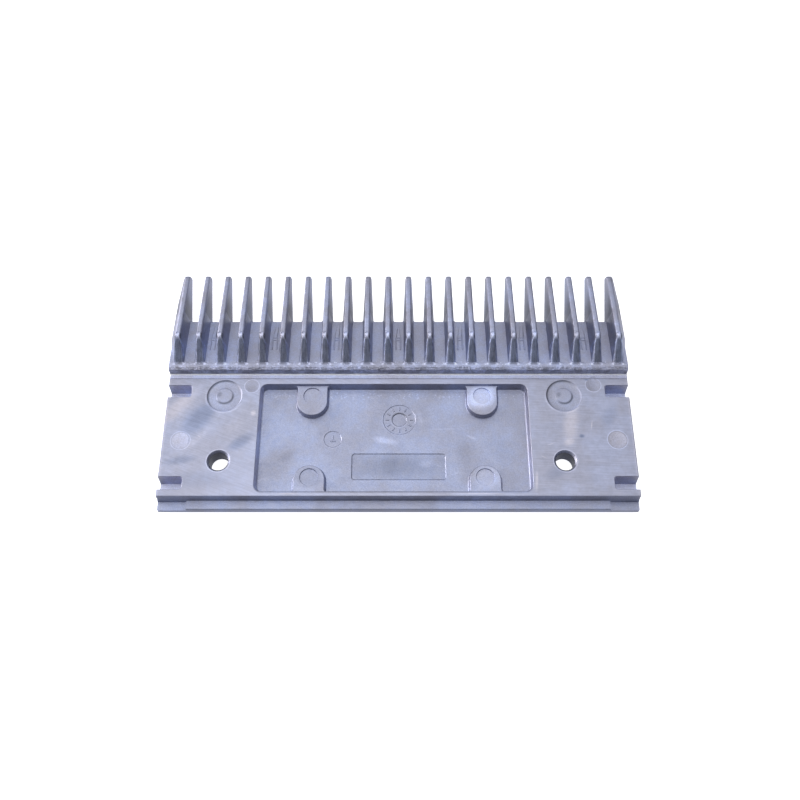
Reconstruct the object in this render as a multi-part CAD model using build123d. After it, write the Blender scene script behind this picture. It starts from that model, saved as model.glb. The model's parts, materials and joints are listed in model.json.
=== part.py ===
"""Escalator comb plate: one aluminium die casting.

It lies tread side down, as it does on a bench. X runs across the teeth, Y runs from the rear edge
towards the tooth tips, and Z is up, out of the mounting underside. Lengths are in millimetres.
The helper frame used below has Y = 0 at the rear edge and Z = 0 at the tread ridge tops; the last
step moves the casting so that the middle of its footprint is the origin.
"""

from build123d import *
import os
from math import atan, cos, degrees, radians, tan

# Comb
tooth_count = 22
tooth_pitch = 9.068
joint_gap = 0.1
keel_width = 2.2
tooth_draft = 6.3
end_tooth_draft = 23.6
tooth_root_y = 63.7
apex_y = 73.6
apex_height = 12.4
tip_thickness = 3.6
apex_radius = 3.0
tip_top_radius = 2.8
tip_tread_radius = 0.8
keel_edge_radius = 0.4
apex_pin_diameter = 1.5
apex_pin_depth = 0.3

# Plate
plate_length = 108.5
seat_height = 10.0
cast_strip_y = 58.95
cast_strip_rise = 0.3
riser_foot_y = 60.75
riser_run = 0.37
riser_top_radius = 2.0
web_rear_height = 4.7
web_front_y = 87.3
web_front_height = 0.83
web_nose_radius = 0.8

# Tread side
ridge_depth = 1.6
ridge_width = 4.4
ridge_side_draft = 10.0
nose_slope_y = 56.4
nose_slope = 14.1
rear_bevel = 2.5

# Rear rebate on the underside
rebate_width = 4.4
rebate_depth = 4.1
rebate_wall_draft = 7.0
rebate_end_length = 12.0
rebate_end_extra = 1.3

# Screw holes, countersunk from the tread side
screw_spacing = 145.0
screw_centre_x = -2.7
screw_y = 20.0
screw_hole_diameter = 8.0
screw_hole_chamfer = 0.75
screw_head_diameter = 12.0
screw_head_angle = 90.0

# Core pocket between the machined seats
pocket_left_x = -59.7
pocket_right_x = 55.8
pocket_near_y = 6.4
pocket_far_y = 56.0
pocket_depth = 4.0
pocket_corner_radius = 3.0
cast_draft = 10.0

# Bosses that stand on the pocket floor, two against each long wall
boss_xs = (-37.2, 36.2)
boss_width = 13.9
boss_below_seat = 1.3
far_boss_nose_y = 41.3
near_boss_nose_y = 19.0
boss_pin_diameter = 7.8
boss_pin_depth = 0.45
far_boss_pin_y = 51.0
near_boss_pin_y = 13.2

# Location notches in the two side edges
notch_depth = 6.5
notch_width = 10.3
notch_length = 5.7
notch_draft = 7.0
notch_ys = (10.1, 52.6)

# Shallow round marks left by the die. The pins in the seats are given as side of the plate,
# distance from that side edge, y and diameter.
seat_ring_xs = (-75.0, 71.4)
seat_ring_y = 50.4
seat_ring_diameter = 15.2
seat_ring_depth = 0.4
seat_ring_pip_diameter = 7.4
seat_ring_pip_height = 0.3
seat_pins = (
    (-1, 36.2, 55.0, 6.0),
    (1, 15.2, 55.6, 6.4),
    (-1, 7.8, 29.2, 8.0),
    (1, 7.2, 29.6, 8.2),
)
seat_pin_depth = 0.2
date_disc_x = 0.4
date_disc_y = 40.8
date_disc_diameter = 14.2
date_disc_depth = 0.2
date_hub_diameter = 6.5
date_hub_depth = 0.45
small_disc_x = -28.0
small_disc_y = 31.6
small_disc_diameter = 7.8
small_disc_depth = 0.2
label_left_x = -19.8
label_right_x = 20.1
label_near_y = 12.9
label_far_y = 25.0
label_corner_radius = 1.5
label_depth = 0.25
web_mark_height = 0.25
web_mark_step = 3
web_mark_length = 7.4
web_mark_width = 2.6
web_mark_line = 0.4
web_mark_y = 74.7

# Worked out from the sizes above
plate_width = tooth_count * tooth_pitch - joint_gap
half_width = plate_width / 2
riser_top_y = riser_foot_y + riser_run
slope_rise = tan(radians(nose_slope))
tip_keel_height = (plate_length - nose_slope_y) * slope_rise + tip_thickness
keel_fall = (seat_height + apex_height - tip_keel_height) / (plate_length - apex_y)
web_fall = (web_rear_height - web_front_height) / (web_front_y - riser_top_y)
pocket_floor_height = seat_height - pocket_depth
boss_height = pocket_depth - boss_below_seat

# Margins: how far cutters run past a face, how far raised details are rooted in what carries them,
# how far the tooth blanks run into the web, and a length that is past the casting either way
overlap = 1.5
root = 0.4
tooth_inset = 3.0
reach = 30.0


def tread_height(y):
    """Height of the ridge tops: flat at first, then rising towards the tooth tips."""
    return max(0.0, y - nose_slope_y) * slope_rise


def web_height(y):
    """Height of the sloping floor between the teeth."""
    return seat_height + web_rear_height - (y - riser_top_y) * web_fall


def keel_height(y):
    """Height of the straight line through the apex and the tip of a tooth."""
    return seat_height + apex_height - (y - apex_y) * keel_fall


def side_profile(points):
    """A closed outline drawn in the YZ plane."""
    return make_face(Polyline(*[(0, y, z) for y, z in points], close=True))


def round_corner(profile, y, z, radius):
    """Rounds the corner of a side profile that lies at y, z."""
    corner = profile.vertices().sort_by(lambda v: abs(v.Y - y) + abs(v.Z - z))[0]
    return fillet(corner, radius)


def disc_cut(x, y, top, diameter, depth):
    """A round cutter from the height top down by depth."""
    return Pos(x, y, top - depth) * extrude(Circle(diameter / 2), amount=depth + overlap)


def plate_body():
    """The plate without teeth, ridges or hollows: one side profile drawn across the full width."""
    ledge_height = seat_height - rebate_depth
    wall_run = rebate_depth * tan(radians(rebate_wall_draft))
    strip_height = seat_height + cast_strip_rise
    profile = side_profile([
        (0, rear_bevel),
        (0, ledge_height),
        (rebate_width - wall_run, ledge_height),
        (rebate_width, seat_height),
        (cast_strip_y, seat_height),
        (cast_strip_y, strip_height),
        (riser_foot_y, strip_height),
        (riser_top_y, web_height(riser_top_y)),
        (web_front_y, web_height(web_front_y)),
        (web_front_y, tread_height(web_front_y) + ridge_depth),
        (nose_slope_y, ridge_depth),
        (rear_bevel - ridge_depth, ridge_depth),
    ])
    front_thickness = web_height(web_front_y) - tread_height(web_front_y) - ridge_depth
    nose_radius = min(web_nose_radius, 0.45 * front_thickness)
    profile = round_corner(profile, web_front_y, web_height(web_front_y), nose_radius)
    top_radius = min(riser_top_radius, 0.5 * (web_height(riser_top_y) - strip_height))
    profile = round_corner(profile, riser_top_y, web_height(riser_top_y), top_radius)
    return extrude(profile, amount=half_width, both=True)


def rebate_ends():
    """The rear ledge is cast a little lower at both ends."""
    low = seat_height - rebate_depth - rebate_end_extra
    cut_width = rebate_width - (seat_height - low) * tan(radians(rebate_wall_draft))
    cutters = []
    for side in (-1, 1):
        centre_x = side * (half_width - rebate_end_length / 2 + overlap / 2)
        block = Box(
            rebate_end_length + overlap, cut_width + overlap, reach,
            align=(Align.CENTER, Align.MAX, Align.MIN),
        )
        cutters.append(Pos(centre_x, cut_width, low) * block)
    return cutters


def tread_ridge(x):
    """One ridge of the walking surface, narrower at its top, from the rear bevel to the comb."""
    profile = side_profile([
        (rear_bevel - ridge_depth - root, ridge_depth + root),
        (rear_bevel, 0),
        (nose_slope_y, 0),
        (web_front_y, tread_height(web_front_y)),
        (web_front_y, tread_height(web_front_y) + ridge_depth + root),
        (nose_slope_y, ridge_depth + root),
    ])
    ridge = extrude(profile, amount=ridge_width, both=True)
    spread = tan(radians(ridge_side_draft))
    top_half = ridge_width / 2
    low, high = -overlap, tread_height(web_front_y) + reach
    flat_part = make_face(Polyline(
        (-top_half - spread * low, 0, low), (top_half + spread * low, 0, low),
        (top_half + spread * high, 0, high), (-top_half - spread * high, 0, high), close=True,
    ))
    wedge = extrude(Pos(0, nose_slope_y, 0) * flat_part, amount=nose_slope_y + overlap, dir=(0, -1, 0))
    slope = Pos(0, nose_slope_y, 0) * Rot(nose_slope, 0, 0) * flat_part
    run = Vector(0, cos(radians(nose_slope)), slope_rise * cos(radians(nose_slope)))
    wedge += extrude(slope, amount=plate_length, dir=run)
    return Pos(x, 0, 0) * (ridge & wedge)


def rear_corner(side, side_x):
    """What lies outside the rear face of an end tooth, whose flank starts there as a diagonal facet."""
    top = Vector(side * keel_width / 2, apex_y, keel_height(apex_y))
    foot_depth = keel_height(tooth_root_y) - web_height(tooth_root_y)
    foot_x = keel_width / 2 + foot_depth * tan(radians(tooth_draft))
    foot = Vector(side * foot_x, tooth_root_y, web_height(tooth_root_y))
    far = Vector(side * side_x, apex_y, web_height(apex_y))
    normal = (foot - top).cross(far - top)
    if normal.X * side < 0:
        normal = normal * -1
    facet = Plane(origin=top, x_dir=foot - top, z_dir=normal)
    return facet * extrude(Rectangle(2 * reach, 2 * reach), amount=reach)


def tooth(x, outer_side=0):
    """One comb tooth: a keel that climbs from the web to an apex and falls to the rounded tip.

    The outer flank of an end tooth leans out to the plate's side; outer_side says which one it is.
    """
    tip_y = plate_length
    back_y = tooth_root_y - 0.4
    flank = (keel_height(apex_y) - web_height(tooth_root_y)) / (apex_y - tooth_root_y)
    inside_y = web_front_y - tooth_inset
    profile = side_profile([
        (back_y, web_height(tooth_root_y) - flank * (tooth_root_y - back_y)),
        (apex_y, keel_height(apex_y)),
        (tip_y, keel_height(tip_y)),
        (tip_y, tread_height(tip_y)),
        (inside_y, tread_height(inside_y)),
        (inside_y, web_height(inside_y) - 1.0),
        (back_y + 1.0, web_height(back_y) - 2.0),
    ])
    profile = round_corner(profile, apex_y, keel_height(apex_y), apex_radius)
    profile = round_corner(profile, tip_y, keel_height(tip_y), tip_top_radius)
    profile = round_corner(profile, tip_y, tread_height(tip_y), tip_tread_radius)
    blank = extrude(profile, amount=tooth_pitch / 2, both=True)

    # The two drafted sides run along the keel line, so one section swept along it trims both.
    fall_angle = atan(keel_fall)
    above, below = 1.0, 20.0

    def flank_side(side):
        if side != outer_side:
            spread = tan(radians(tooth_draft))
            return [(side * (keel_width / 2 - above * spread), 0, above),
                    (side * (keel_width / 2 + below * spread), 0, -below)]
        spread = tan(radians(end_tooth_draft))
        side_x = half_width - abs(x)
        return [(side * (keel_width / 2 - above * spread), 0, above),
                (side * side_x, 0, -(side_x - keel_width / 2) / spread),
                (side * side_x, 0, -below)]

    trapezoid = make_face(Polyline(*flank_side(-1), *reversed(flank_side(1)), close=True))
    start_y = back_y - overlap
    section = Pos(0, start_y, keel_height(start_y)) * Rot(-degrees(fall_angle), 0, 0) * trapezoid
    run = Vector(0, cos(fall_angle), -keel_fall * cos(fall_angle))
    solid = blank & extrude(section, amount=plate_length, dir=run)
    if outer_side:
        solid -= rear_corner(outer_side, half_width - abs(x))

    def on_the_keel(edge):
        middle = edge.position_at(0.5)
        ends = (edge.position_at(0), edge.position_at(1))
        same_side = abs(ends[0].X) > 0.5 and abs(ends[1].X) > 0.5 and ends[0].X * ends[1].X > 0
        if middle.X * outer_side > 0 or not same_side:
            return False
        if middle.Y < web_front_y:
            return middle.Z > web_height(middle.Y)
        return middle.Z > tread_height(middle.Y) + 0.9

    edge_radius = min(keel_edge_radius, 0.25 * keel_width)
    solid = fillet(solid.edges().filter_by(on_the_keel), edge_radius)
    solid -= disc_cut(0, apex_y, keel_height(apex_y) - 0.4, apex_pin_diameter, apex_pin_depth)
    return Pos(x, 0, 0) * solid


def pocket():
    """The drafted hollow between the two seats."""
    width = pocket_right_x - pocket_left_x
    length = pocket_far_y - pocket_near_y
    centre = ((pocket_left_x + pocket_right_x) / 2, (pocket_near_y + pocket_far_y) / 2)
    outline = Pos(centre[0], centre[1], seat_height) * RectangleRounded(width, length, pocket_corner_radius)
    rim = extrude(outline, amount=overlap)
    return rim + extrude(outline, amount=-pocket_depth, taper=cast_draft)


def pocket_boss(x, nose_y, wall_y):
    """A boss with a half-round nose that runs back into one of the long pocket walls."""
    radius = boss_width / 2
    side = 1 if wall_y > nose_y else -1
    centre_y = nose_y + side * radius
    end_y = wall_y + side * overlap
    straight = abs(end_y - centre_y)
    plan = Pos(x, centre_y) * Circle(radius)
    plan += Pos(x, (centre_y + end_y) / 2) * Rectangle(boss_width, straight)
    base = Pos(0, 0, pocket_floor_height - root) * plan
    return extrude(base, amount=boss_height + root, taper=cast_draft)


def notch(side, y):
    """A location notch, open to one side edge, with drafted walls."""
    inner_x = half_width - notch_width
    plan = Rectangle(notch_width + overlap, notch_length, align=(Align.MIN, Align.CENTER))
    cutter = extrude(Pos(inner_x, y, seat_height) * plan, amount=-notch_depth, taper=notch_draft)
    cutter += extrude(Pos(inner_x, y, seat_height) * plan, amount=overlap)
    open_side = Box(
        2 * overlap, notch_length - 2 * notch_depth * tan(radians(notch_draft)), notch_depth,
        align=(Align.CENTER, Align.CENTER, Align.MAX),
    )
    cutter += Pos(half_width, y, seat_height) * open_side
    return cutter if side > 0 else mirror(cutter, about=Plane.YZ)


def screw_hole(x):
    """A through hole with a broken edge on the seat and a countersink on the tread side."""
    radius = screw_hole_diameter / 2
    head = screw_head_diameter / 2
    sink = (head - radius) / tan(radians(screw_head_angle / 2))
    flare = tan(radians(screw_head_angle / 2))
    outline = make_face(Polyline(
        (0, 0, -overlap),
        (head + overlap * flare, 0, -overlap),
        (radius, 0, sink),
        (radius, 0, seat_height - screw_hole_chamfer),
        (radius + screw_hole_chamfer + overlap, 0, seat_height + overlap),
        (0, 0, seat_height + overlap), close=True,
    ))
    return Pos(x, screw_y, 0) * revolve(outline, Axis.Z)


def seat_marks():
    """Cutters for the shallow ring, pin and edge marks in the two seats."""
    cutters = []
    for x in seat_ring_xs:
        ring = disc_cut(x, seat_ring_y, seat_height, seat_ring_diameter, seat_ring_depth)
        pip_top = seat_height - seat_ring_depth + seat_ring_pip_height
        pip = Pos(x, seat_ring_y, pip_top - overlap) * extrude(
            Circle(seat_ring_pip_diameter / 2), amount=overlap
        )
        cutters.append(ring - pip)
    for side, inset, y, diameter in seat_pins:
        x = side * (half_width - inset)
        cutters.append(disc_cut(x, y, seat_height, diameter, seat_pin_depth))
    return cutters


def floor_marks():
    """Cutters for the shallow marks in the pocket floor: date disc, small disc and blank label field."""
    floor = pocket_floor_height
    width = label_right_x - label_left_x
    length = label_far_y - label_near_y
    centre_x = (label_left_x + label_right_x) / 2
    centre_y = (label_near_y + label_far_y) / 2
    field = RectangleRounded(width, length, label_corner_radius)
    return [
        disc_cut(date_disc_x, date_disc_y, floor, date_disc_diameter, date_disc_depth),
        disc_cut(date_disc_x, date_disc_y, floor, date_hub_diameter, date_hub_depth),
        disc_cut(small_disc_x, small_disc_y, floor, small_disc_diameter, small_disc_depth),
        Pos(centre_x, centre_y, floor - label_depth) * extrude(field, amount=label_depth + overlap),
    ]


def web_mark(x):
    """A small blank frame raised on the web between two teeth."""
    frame = Rectangle(web_mark_width, web_mark_length)
    frame -= Rectangle(web_mark_width - 2 * web_mark_line, web_mark_length - 2 * web_mark_line)
    turn = Rot(-degrees(atan(web_fall)), 0, 0)
    place = Pos(x, web_mark_y, web_height(web_mark_y)) * turn * Pos(0, 0, -root)
    return place * extrude(frame, amount=root + web_mark_height)


def casting():
    """The whole comb plate in the helper frame."""
    tooth_xs = [(i - (tooth_count - 1) / 2) * tooth_pitch for i in range(tooth_count)]
    body = plate_body()
    body += [tread_ridge(x) for x in tooth_xs]
    body += [tooth(x) for x in tooth_xs[1:-1]]
    body += [tooth(tooth_xs[0], -1), tooth(tooth_xs[-1], 1)]
    body -= rebate_ends()
    body -= pocket()
    bosses = [pocket_boss(x, far_boss_nose_y, pocket_far_y) for x in boss_xs]
    bosses += [pocket_boss(x, near_boss_nose_y, pocket_near_y) for x in boss_xs]
    body += bosses
    for x in boss_xs:
        for y in (far_boss_pin_y, near_boss_pin_y):
            body -= disc_cut(x, y, seat_height - boss_below_seat, boss_pin_diameter, boss_pin_depth)
    body -= [notch(side, y) for side in (-1, 1) for y in notch_ys]
    body -= [screw_hole(screw_centre_x + side * screw_spacing / 2) for side in (-1, 1)]
    body -= seat_marks()
    body -= floor_marks()
    marked_gaps = range(-(tooth_count // 2) + 2, tooth_count // 2, web_mark_step)
    body += [web_mark(gap * tooth_pitch) for gap in marked_gaps]
    return body


os.makedirs("parts", exist_ok=True)
comb_plate = Pos(0, -plate_length / 2, 0) * casting()
print("comb plate volume", round(comb_plate.volume / 1000, 2), "cm3", comb_plate.bounding_box())
export_step(comb_plate, "parts/comb_plate.step")
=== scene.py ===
# %% [markdown]
# # An escalator comb plate, cast in aluminium
#
# The comb plate is the toothed strip at the end of an escalator. Its teeth run in the grooves of the
# moving steps. Here one such plate lies tread side down, so we look at its underside: two milled
# seats, a shallow core pocket between them, and a row of 22 teeth that point away from us.
#
# The frame gives the size and place of everything. We model in millimetres, in helper axes that are
# easy to think in: X across the teeth, Y from the rear edge to the tooth tips, Z up from the plane
# that the plate lies on. `to_frame` below turns such a point into the frame's metres.

import json
import math

import bmesh
import bpy
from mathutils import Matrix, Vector


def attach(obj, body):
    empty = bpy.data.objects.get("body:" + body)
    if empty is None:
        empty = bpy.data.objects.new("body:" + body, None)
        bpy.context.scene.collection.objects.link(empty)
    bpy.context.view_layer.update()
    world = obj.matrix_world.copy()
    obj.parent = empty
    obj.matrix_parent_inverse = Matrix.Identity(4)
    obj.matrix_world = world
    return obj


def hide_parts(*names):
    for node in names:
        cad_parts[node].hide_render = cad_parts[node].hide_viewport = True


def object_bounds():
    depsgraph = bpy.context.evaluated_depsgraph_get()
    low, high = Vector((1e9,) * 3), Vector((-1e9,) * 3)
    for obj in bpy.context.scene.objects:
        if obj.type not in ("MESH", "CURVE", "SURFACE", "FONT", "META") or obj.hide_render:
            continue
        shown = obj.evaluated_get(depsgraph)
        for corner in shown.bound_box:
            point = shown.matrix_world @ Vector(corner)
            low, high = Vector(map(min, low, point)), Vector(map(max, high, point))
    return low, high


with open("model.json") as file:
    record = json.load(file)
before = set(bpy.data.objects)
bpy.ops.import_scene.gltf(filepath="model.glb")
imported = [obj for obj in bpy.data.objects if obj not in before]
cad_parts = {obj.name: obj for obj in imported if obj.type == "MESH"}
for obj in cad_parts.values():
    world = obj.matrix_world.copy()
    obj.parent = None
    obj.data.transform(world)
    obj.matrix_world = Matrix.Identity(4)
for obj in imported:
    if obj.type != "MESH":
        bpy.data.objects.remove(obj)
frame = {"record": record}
box_low, box_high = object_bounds()
record = frame["record"]
MM = 0.001
NODE = "comb_plate"
LENGTH = (box_high.y - box_low.y) / MM
HALF_WIDTH = (box_high.x - box_low.x) / 2 / MM
REAR_Y = box_low.y / MM
print("plate", round(2 * HALF_WIDTH, 2), "x", round(LENGTH, 2), "mm")


def to_frame(x, y, z):
    """A point in helper millimetres becomes a point in the frame's metres."""
    return Vector((x * MM, (y + REAR_Y) * MM, z * MM))


def new_object(name, data):
    """An object with this data, linked to the scene."""
    made = bpy.data.objects.new(name, data)
    bpy.context.scene.collection.objects.link(made)
    return made


def plain_mesh(source):
    """What an object's modifiers make of it, as a plain mesh."""
    graph = bpy.context.evaluated_depsgraph_get()
    return bpy.data.meshes.new_from_object(source.evaluated_get(graph))


# %% [markdown]
# ## The driving dimensions
#
# The record already knows the gaps between the teeth and the screw holes, so we read those. The rest
# are the sizes of the real casting. Every height counts from the tread ridges that touch the floor.

# %% Driving dimensions
gaps = [opening["box_m"] for opening in record["physics"]["openings"]]
gap_xs = [(low[0] + high[0]) / 2 / MM for low, high in gaps]
PITCH = (gap_xs[-1] - gap_xs[0]) / (len(gap_xs) - 1)
TEETH = len(gap_xs) + 1

SEAT_Z = 10.0
STRIP_Y, STRIP_Z = 58.95, 10.3
RISER_FOOT_Y, RISER_TOP_Y = 60.75, 61.12
WEB_REAR_Z, WEB_FRONT_Z, WEB_FRONT_Y = 14.7, 10.83, 87.3
ROOT_Y = 63.7
APEX_Y, APEX_Z = 73.6, 22.4
TIP_THICKNESS = 3.6
APEX_RADIUS, TIP_RADIUS, TIP_TREAD_RADIUS = 3.0, 2.8, 0.8
KEEL_HALF = 1.1
TOOTH_DRAFT, END_DRAFT = math.radians(6.3), math.radians(23.6)
SLOPE_Y, SLOPE = 56.4, math.radians(14.1)
RIDGE_HALF, RIDGE_DEPTH, RIDGE_DRAFT = 2.2, 1.6, math.radians(10.0)
REAR_BEVEL = 2.5
LEDGE_Z, LEDGE_WIDTH = 5.9, 4.4
print("teeth", TEETH, "pitch", round(PITCH, 3), "mm")


def tread_z(y):
    """The tread ridges are flat at first and then climb towards the tips."""
    return max(0.0, y - SLOPE_Y) * math.tan(SLOPE)


def web_z(y):
    """The sloping floor between the teeth."""
    return WEB_REAR_Z - (y - RISER_TOP_Y) * (WEB_REAR_Z - WEB_FRONT_Z) / (WEB_FRONT_Y - RISER_TOP_Y)


TIP_Z = tread_z(LENGTH) + TIP_THICKNESS
KEEL_FALL = (APEX_Z - TIP_Z) / (LENGTH - APEX_Y)


def keel_depth(y, z):
    """How far a point of the side view lies below the falling keel line."""
    return (APEX_Z - (y - APEX_Y) * KEEL_FALL - z) * math.cos(math.atan(KEEL_FALL))


def tooth_half(y, z):
    """Half the tooth's thickness: its sides are drafted planes that follow the keel."""
    return KEEL_HALF + keel_depth(y, z) * math.tan(TOOTH_DRAFT)


# %% [markdown]
# ## Rounded paths and sheets of faces
#
# A casting has no knife edges: metal flows into a mould with rounded corners. So the outline tools
# come first. `rounded` walks along corner points and turns each corner into an arc. It also returns
# the outward normal of every point, which lets us push an outline in or out later and keep it exact.
# `Skin` collects sheets of faces and welds their shared borders into one mesh.

# %% Rounded paths


def turn(v, angle):
    """The 2-D vector v turned anticlockwise."""
    return Vector((v.x * math.cos(angle) - v.y * math.sin(angle),
                   v.x * math.sin(angle) + v.y * math.cos(angle)))


def rounded(corners, steps=5, closed=False):
    """Corner points (a, b, radius) as a path of (point, normal), with the outside on the left."""
    spots = [Vector(c[:2]) for c in corners]
    count = len(corners)
    path = []
    for i, (a, b, radius) in enumerate(corners):
        here = spots[i]
        before = spots[i - 1] if closed or i else None
        after = spots[(i + 1) % count] if closed or i < count - 1 else None
        way_in = (here - before).normalized() if before else (after - here).normalized()
        way_out = (after - here).normalized() if after else way_in
        bend = math.atan2(way_in.x * way_out.y - way_in.y * way_out.x, way_in.dot(way_out))
        normal = turn(way_in, math.pi / 2)
        if radius == 0 or abs(bend) < 1e-5:
            path.append((here, turn(normal, bend / 2) / math.cos(bend / 2)))
            continue
        side = math.copysign(1, bend)
        start = here - way_in * radius * math.tan(abs(bend) / 2)
        centre = start + normal * radius * side
        for k in range(steps + 1):
            out = turn(normal, bend * k / steps)
            path.append((centre - out * radius * side, out))
    return path


quarter = rounded([(0, 0, 0), (0, 2, 1), (2, 2, 0)])
print("a rounded corner has", len(quarter) - 2, "points")

# %% Sheets of faces
WELD = 0.002


class Skin:
    """Sheets and caps of faces, in helper millimetres."""

    def __init__(self):
        self.points = []
        self.faces = []

    def sheet(self, rows, closed=False):
        """Quads between equal rows of points."""
        start, width = len(self.points), len(rows[0])
        for row in rows:
            self.points += [tuple(p) for p in row]
        columns = width if closed else width - 1
        for i in range(len(rows) - 1):
            for j in range(columns):
                a, b = start + i * width + j, start + i * width + (j + 1) % width
                self.faces.append((a, b, b + width, a + width))

    def cap(self, outline):
        """One flat face."""
        start = len(self.points)
        self.points += [tuple(p) for p in outline]
        self.faces.append(tuple(range(start, start + len(outline))))

    def mirror(self):
        """Adds the mirror image in X."""
        start = len(self.points)
        self.points += [(-x, y, z) for x, y, z in self.points]
        self.faces += [tuple(start + i for i in reversed(face)) for face in list(self.faces)]

    def mesh_object(self, name):
        """Welds the borders, turns the faces outwards and makes the object, in the frame's metres."""
        mesh = bpy.data.meshes.new(name)
        mesh.from_pydata([to_frame(*p) for p in self.points], [], self.faces)
        work = bmesh.new()
        work.from_mesh(mesh)
        bmesh.ops.remove_doubles(work, verts=work.verts, dist=WELD * MM)
        bmesh.ops.recalc_face_normals(work, faces=work.faces)
        work.to_mesh(mesh)
        work.free()
        return new_object(name, mesh)


print("borders closer than", WELD, "mm are welded")

# %% [markdown]
# ## One pitch of the casting
#
# The plate repeats across its width: a tooth, the web on both sides of it and the tread ridge under
# it. We model half of one pitch and mirror it. The teeth look simple, but three things sell them:
# the long rounded edges, the fillet where each tooth grows out of the web, and the web's rounded
# nose between the teeth. Each comes from walking along a side-view path and offsetting from it.
#
# First the paths. The rim runs from the tooth's apex over the keel, round the tip and back along the
# tread side. The web path runs along the web, over its nose and back along the tread groove. The
# plate path runs the other way: over the chamfered riser behind the teeth, the unmachined strip and
# the milled seat, and down to the rear ledge.

# %% The side-view paths of a tooth
EDGE_STEPS, PATH_STEPS = 4, 8
KEEL_EDGE, TREAD_EDGE = 0.72, 0.4
REAR_EDGE, FOOT_EDGE = 0.95, 1.2
WEB_FILLET, FRONT_FILLET, GROOVE_FILLET = 0.15, 1.1, 0.45
NOSE_RADIUS, LIP_RADIUS = 0.8, 0.3
TREAD_BEND = 10.0
BLEND_LENGTH = 4.0
ROOT_FILLET, FOOT_ROOM = 0.6, 1.1
CREST_WIDTH, RISER_EDGE_Z, WEB_LAP = 0.75, 13.5, 3.0
SEAT_STEP, LEDGE_DRAFT = 0.45, math.radians(7.0)

groove_front_z = tread_z(WEB_FRONT_Y) + RIDGE_DEPTH
lip_end_y = WEB_FRONT_Y - LIP_RADIUS
blend_ys = [lip_end_y - BLEND_LENGTH * k / 3 for k in (1, 2, 3)]

rim = rounded([
    (ROOT_Y, web_z(ROOT_Y), 0),
    (APEX_Y, APEX_Z, APEX_RADIUS),
    (LENGTH, TIP_Z, TIP_RADIUS),
    (LENGTH, TIP_Z - TIP_THICKNESS, TIP_TREAD_RADIUS),
    (lip_end_y, tread_z(lip_end_y), 0),
    *[(y, tread_z(y), 0) for y in blend_ys],
    (SLOPE_Y, 0, TREAD_BEND),
    (REAR_BEVEL, 0, 0),
], steps=PATH_STEPS)[1:]
shore_y = ROOT_Y + FOOT_ROOM
web_path = rounded([
    (shore_y, web_z(shore_y), 0),
    (WEB_FRONT_Y, WEB_FRONT_Z, NOSE_RADIUS),
    (WEB_FRONT_Y, groove_front_z, LIP_RADIUS),
    *[(y, tread_z(y) + RIDGE_DEPTH, 0) for y in blend_ys],
    (SLOPE_Y, RIDGE_DEPTH, TREAD_BEND),
    (REAR_BEVEL, RIDGE_DEPTH, 0),
], steps=PATH_STEPS)
tread_stations = len(blend_ys) + (PATH_STEPS + 1) + 1
wall_run = (SEAT_Z - LEDGE_Z) * math.tan(LEDGE_DRAFT)
plate_path = rounded([
    (ROOT_Y + WEB_LAP, web_z(ROOT_Y + WEB_LAP), 0),
    (ROOT_Y - CREST_WIDTH, web_z(ROOT_Y - CREST_WIDTH), 1.0),
    (RISER_TOP_Y, RISER_EDGE_Z, 0.5),
    (RISER_FOOT_Y, STRIP_Z, 0.6),
    (STRIP_Y, STRIP_Z, 0),
    (STRIP_Y - SEAT_STEP, SEAT_Z, 0),
    (LEDGE_WIDTH, SEAT_Z, 0.12),
    (LEDGE_WIDTH - wall_run, LEDGE_Z, 0.5),
    (0, LEDGE_Z, 0.4),
    (0, REAR_BEVEL, 0.4),
    (0.4, REAR_BEVEL - 0.4, 0),
], steps=6)[1:]
web_edge = plate_path[0][0]
print("rim points", len(rim), "web points", len(web_path), "shared tread stations", tread_stations)

# %% [markdown]
# Under the plate the tooth turns into a tread ridge with steeper sides. `side_half` gives the half
# thickness anywhere and slides from one to the other over the last 4 mm before the web's nose.

# %% Half thickness


def side_half(y, z, ridge):
    """Half thickness of the tooth, or of the ridge where ridge is 1."""
    ridge_x = RIDGE_HALF + max(0.0, z - tread_z(y)) * math.tan(RIDGE_DRAFT)
    return tooth_half(y, z) * (1 - ridge) + ridge_x * ridge


def ridge_share(i, count):
    """0 on the tooth, then up to 1 over the shared tread stations. i counts along a path."""
    return min(1.0, max(0.0, (i - (count - 1 - tread_stations)) / len(blend_ys)))


print("half thickness at the apex", round(side_half(APEX_Y, APEX_Z, 0), 2), "mm")

# %% Rows across the rim and the web
QUARTER = [math.pi / 2 * k / EDGE_STEPS for k in range(EDGE_STEPS + 1)]


def rim_row(spot, out, edge, half):
    """Across half the rim: flat in the middle, then an arc down to the flank. half gives its place."""
    arc = []
    for angle in QUARTER:
        at = spot - out * edge * (1 - math.cos(angle))
        arc.append((half(at.x, at.y) - edge * (1 - math.sin(angle)), at.x, at.y))
    flat_x = arc[0][0]
    return [(0.0, spot.x, spot.y), (flat_x / 2, spot.x, spot.y)] + arc


def web_row(spot, out, radius, ridge):
    """Across half the web: up the fillet from the flank, then flat to the middle of the gap."""
    row = []
    for angle in QUARTER:
        at = spot + out * radius * (1 - math.sin(angle))
        row.append((side_half(at.x, at.y, ridge) + radius * (1 - math.cos(angle)), at.x, at.y))
    foot_x = row[-1][0]
    row += [(foot_x + (PITCH / 2 - foot_x) * share, spot.x, spot.y) for share in (0.5, 1.0)]
    return row


def to_bevel(row):
    """The rear ends of the tread lines stop on the bevel plane."""
    return [(x, REAR_BEVEL - z, z) for x, y, z in row]


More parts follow.
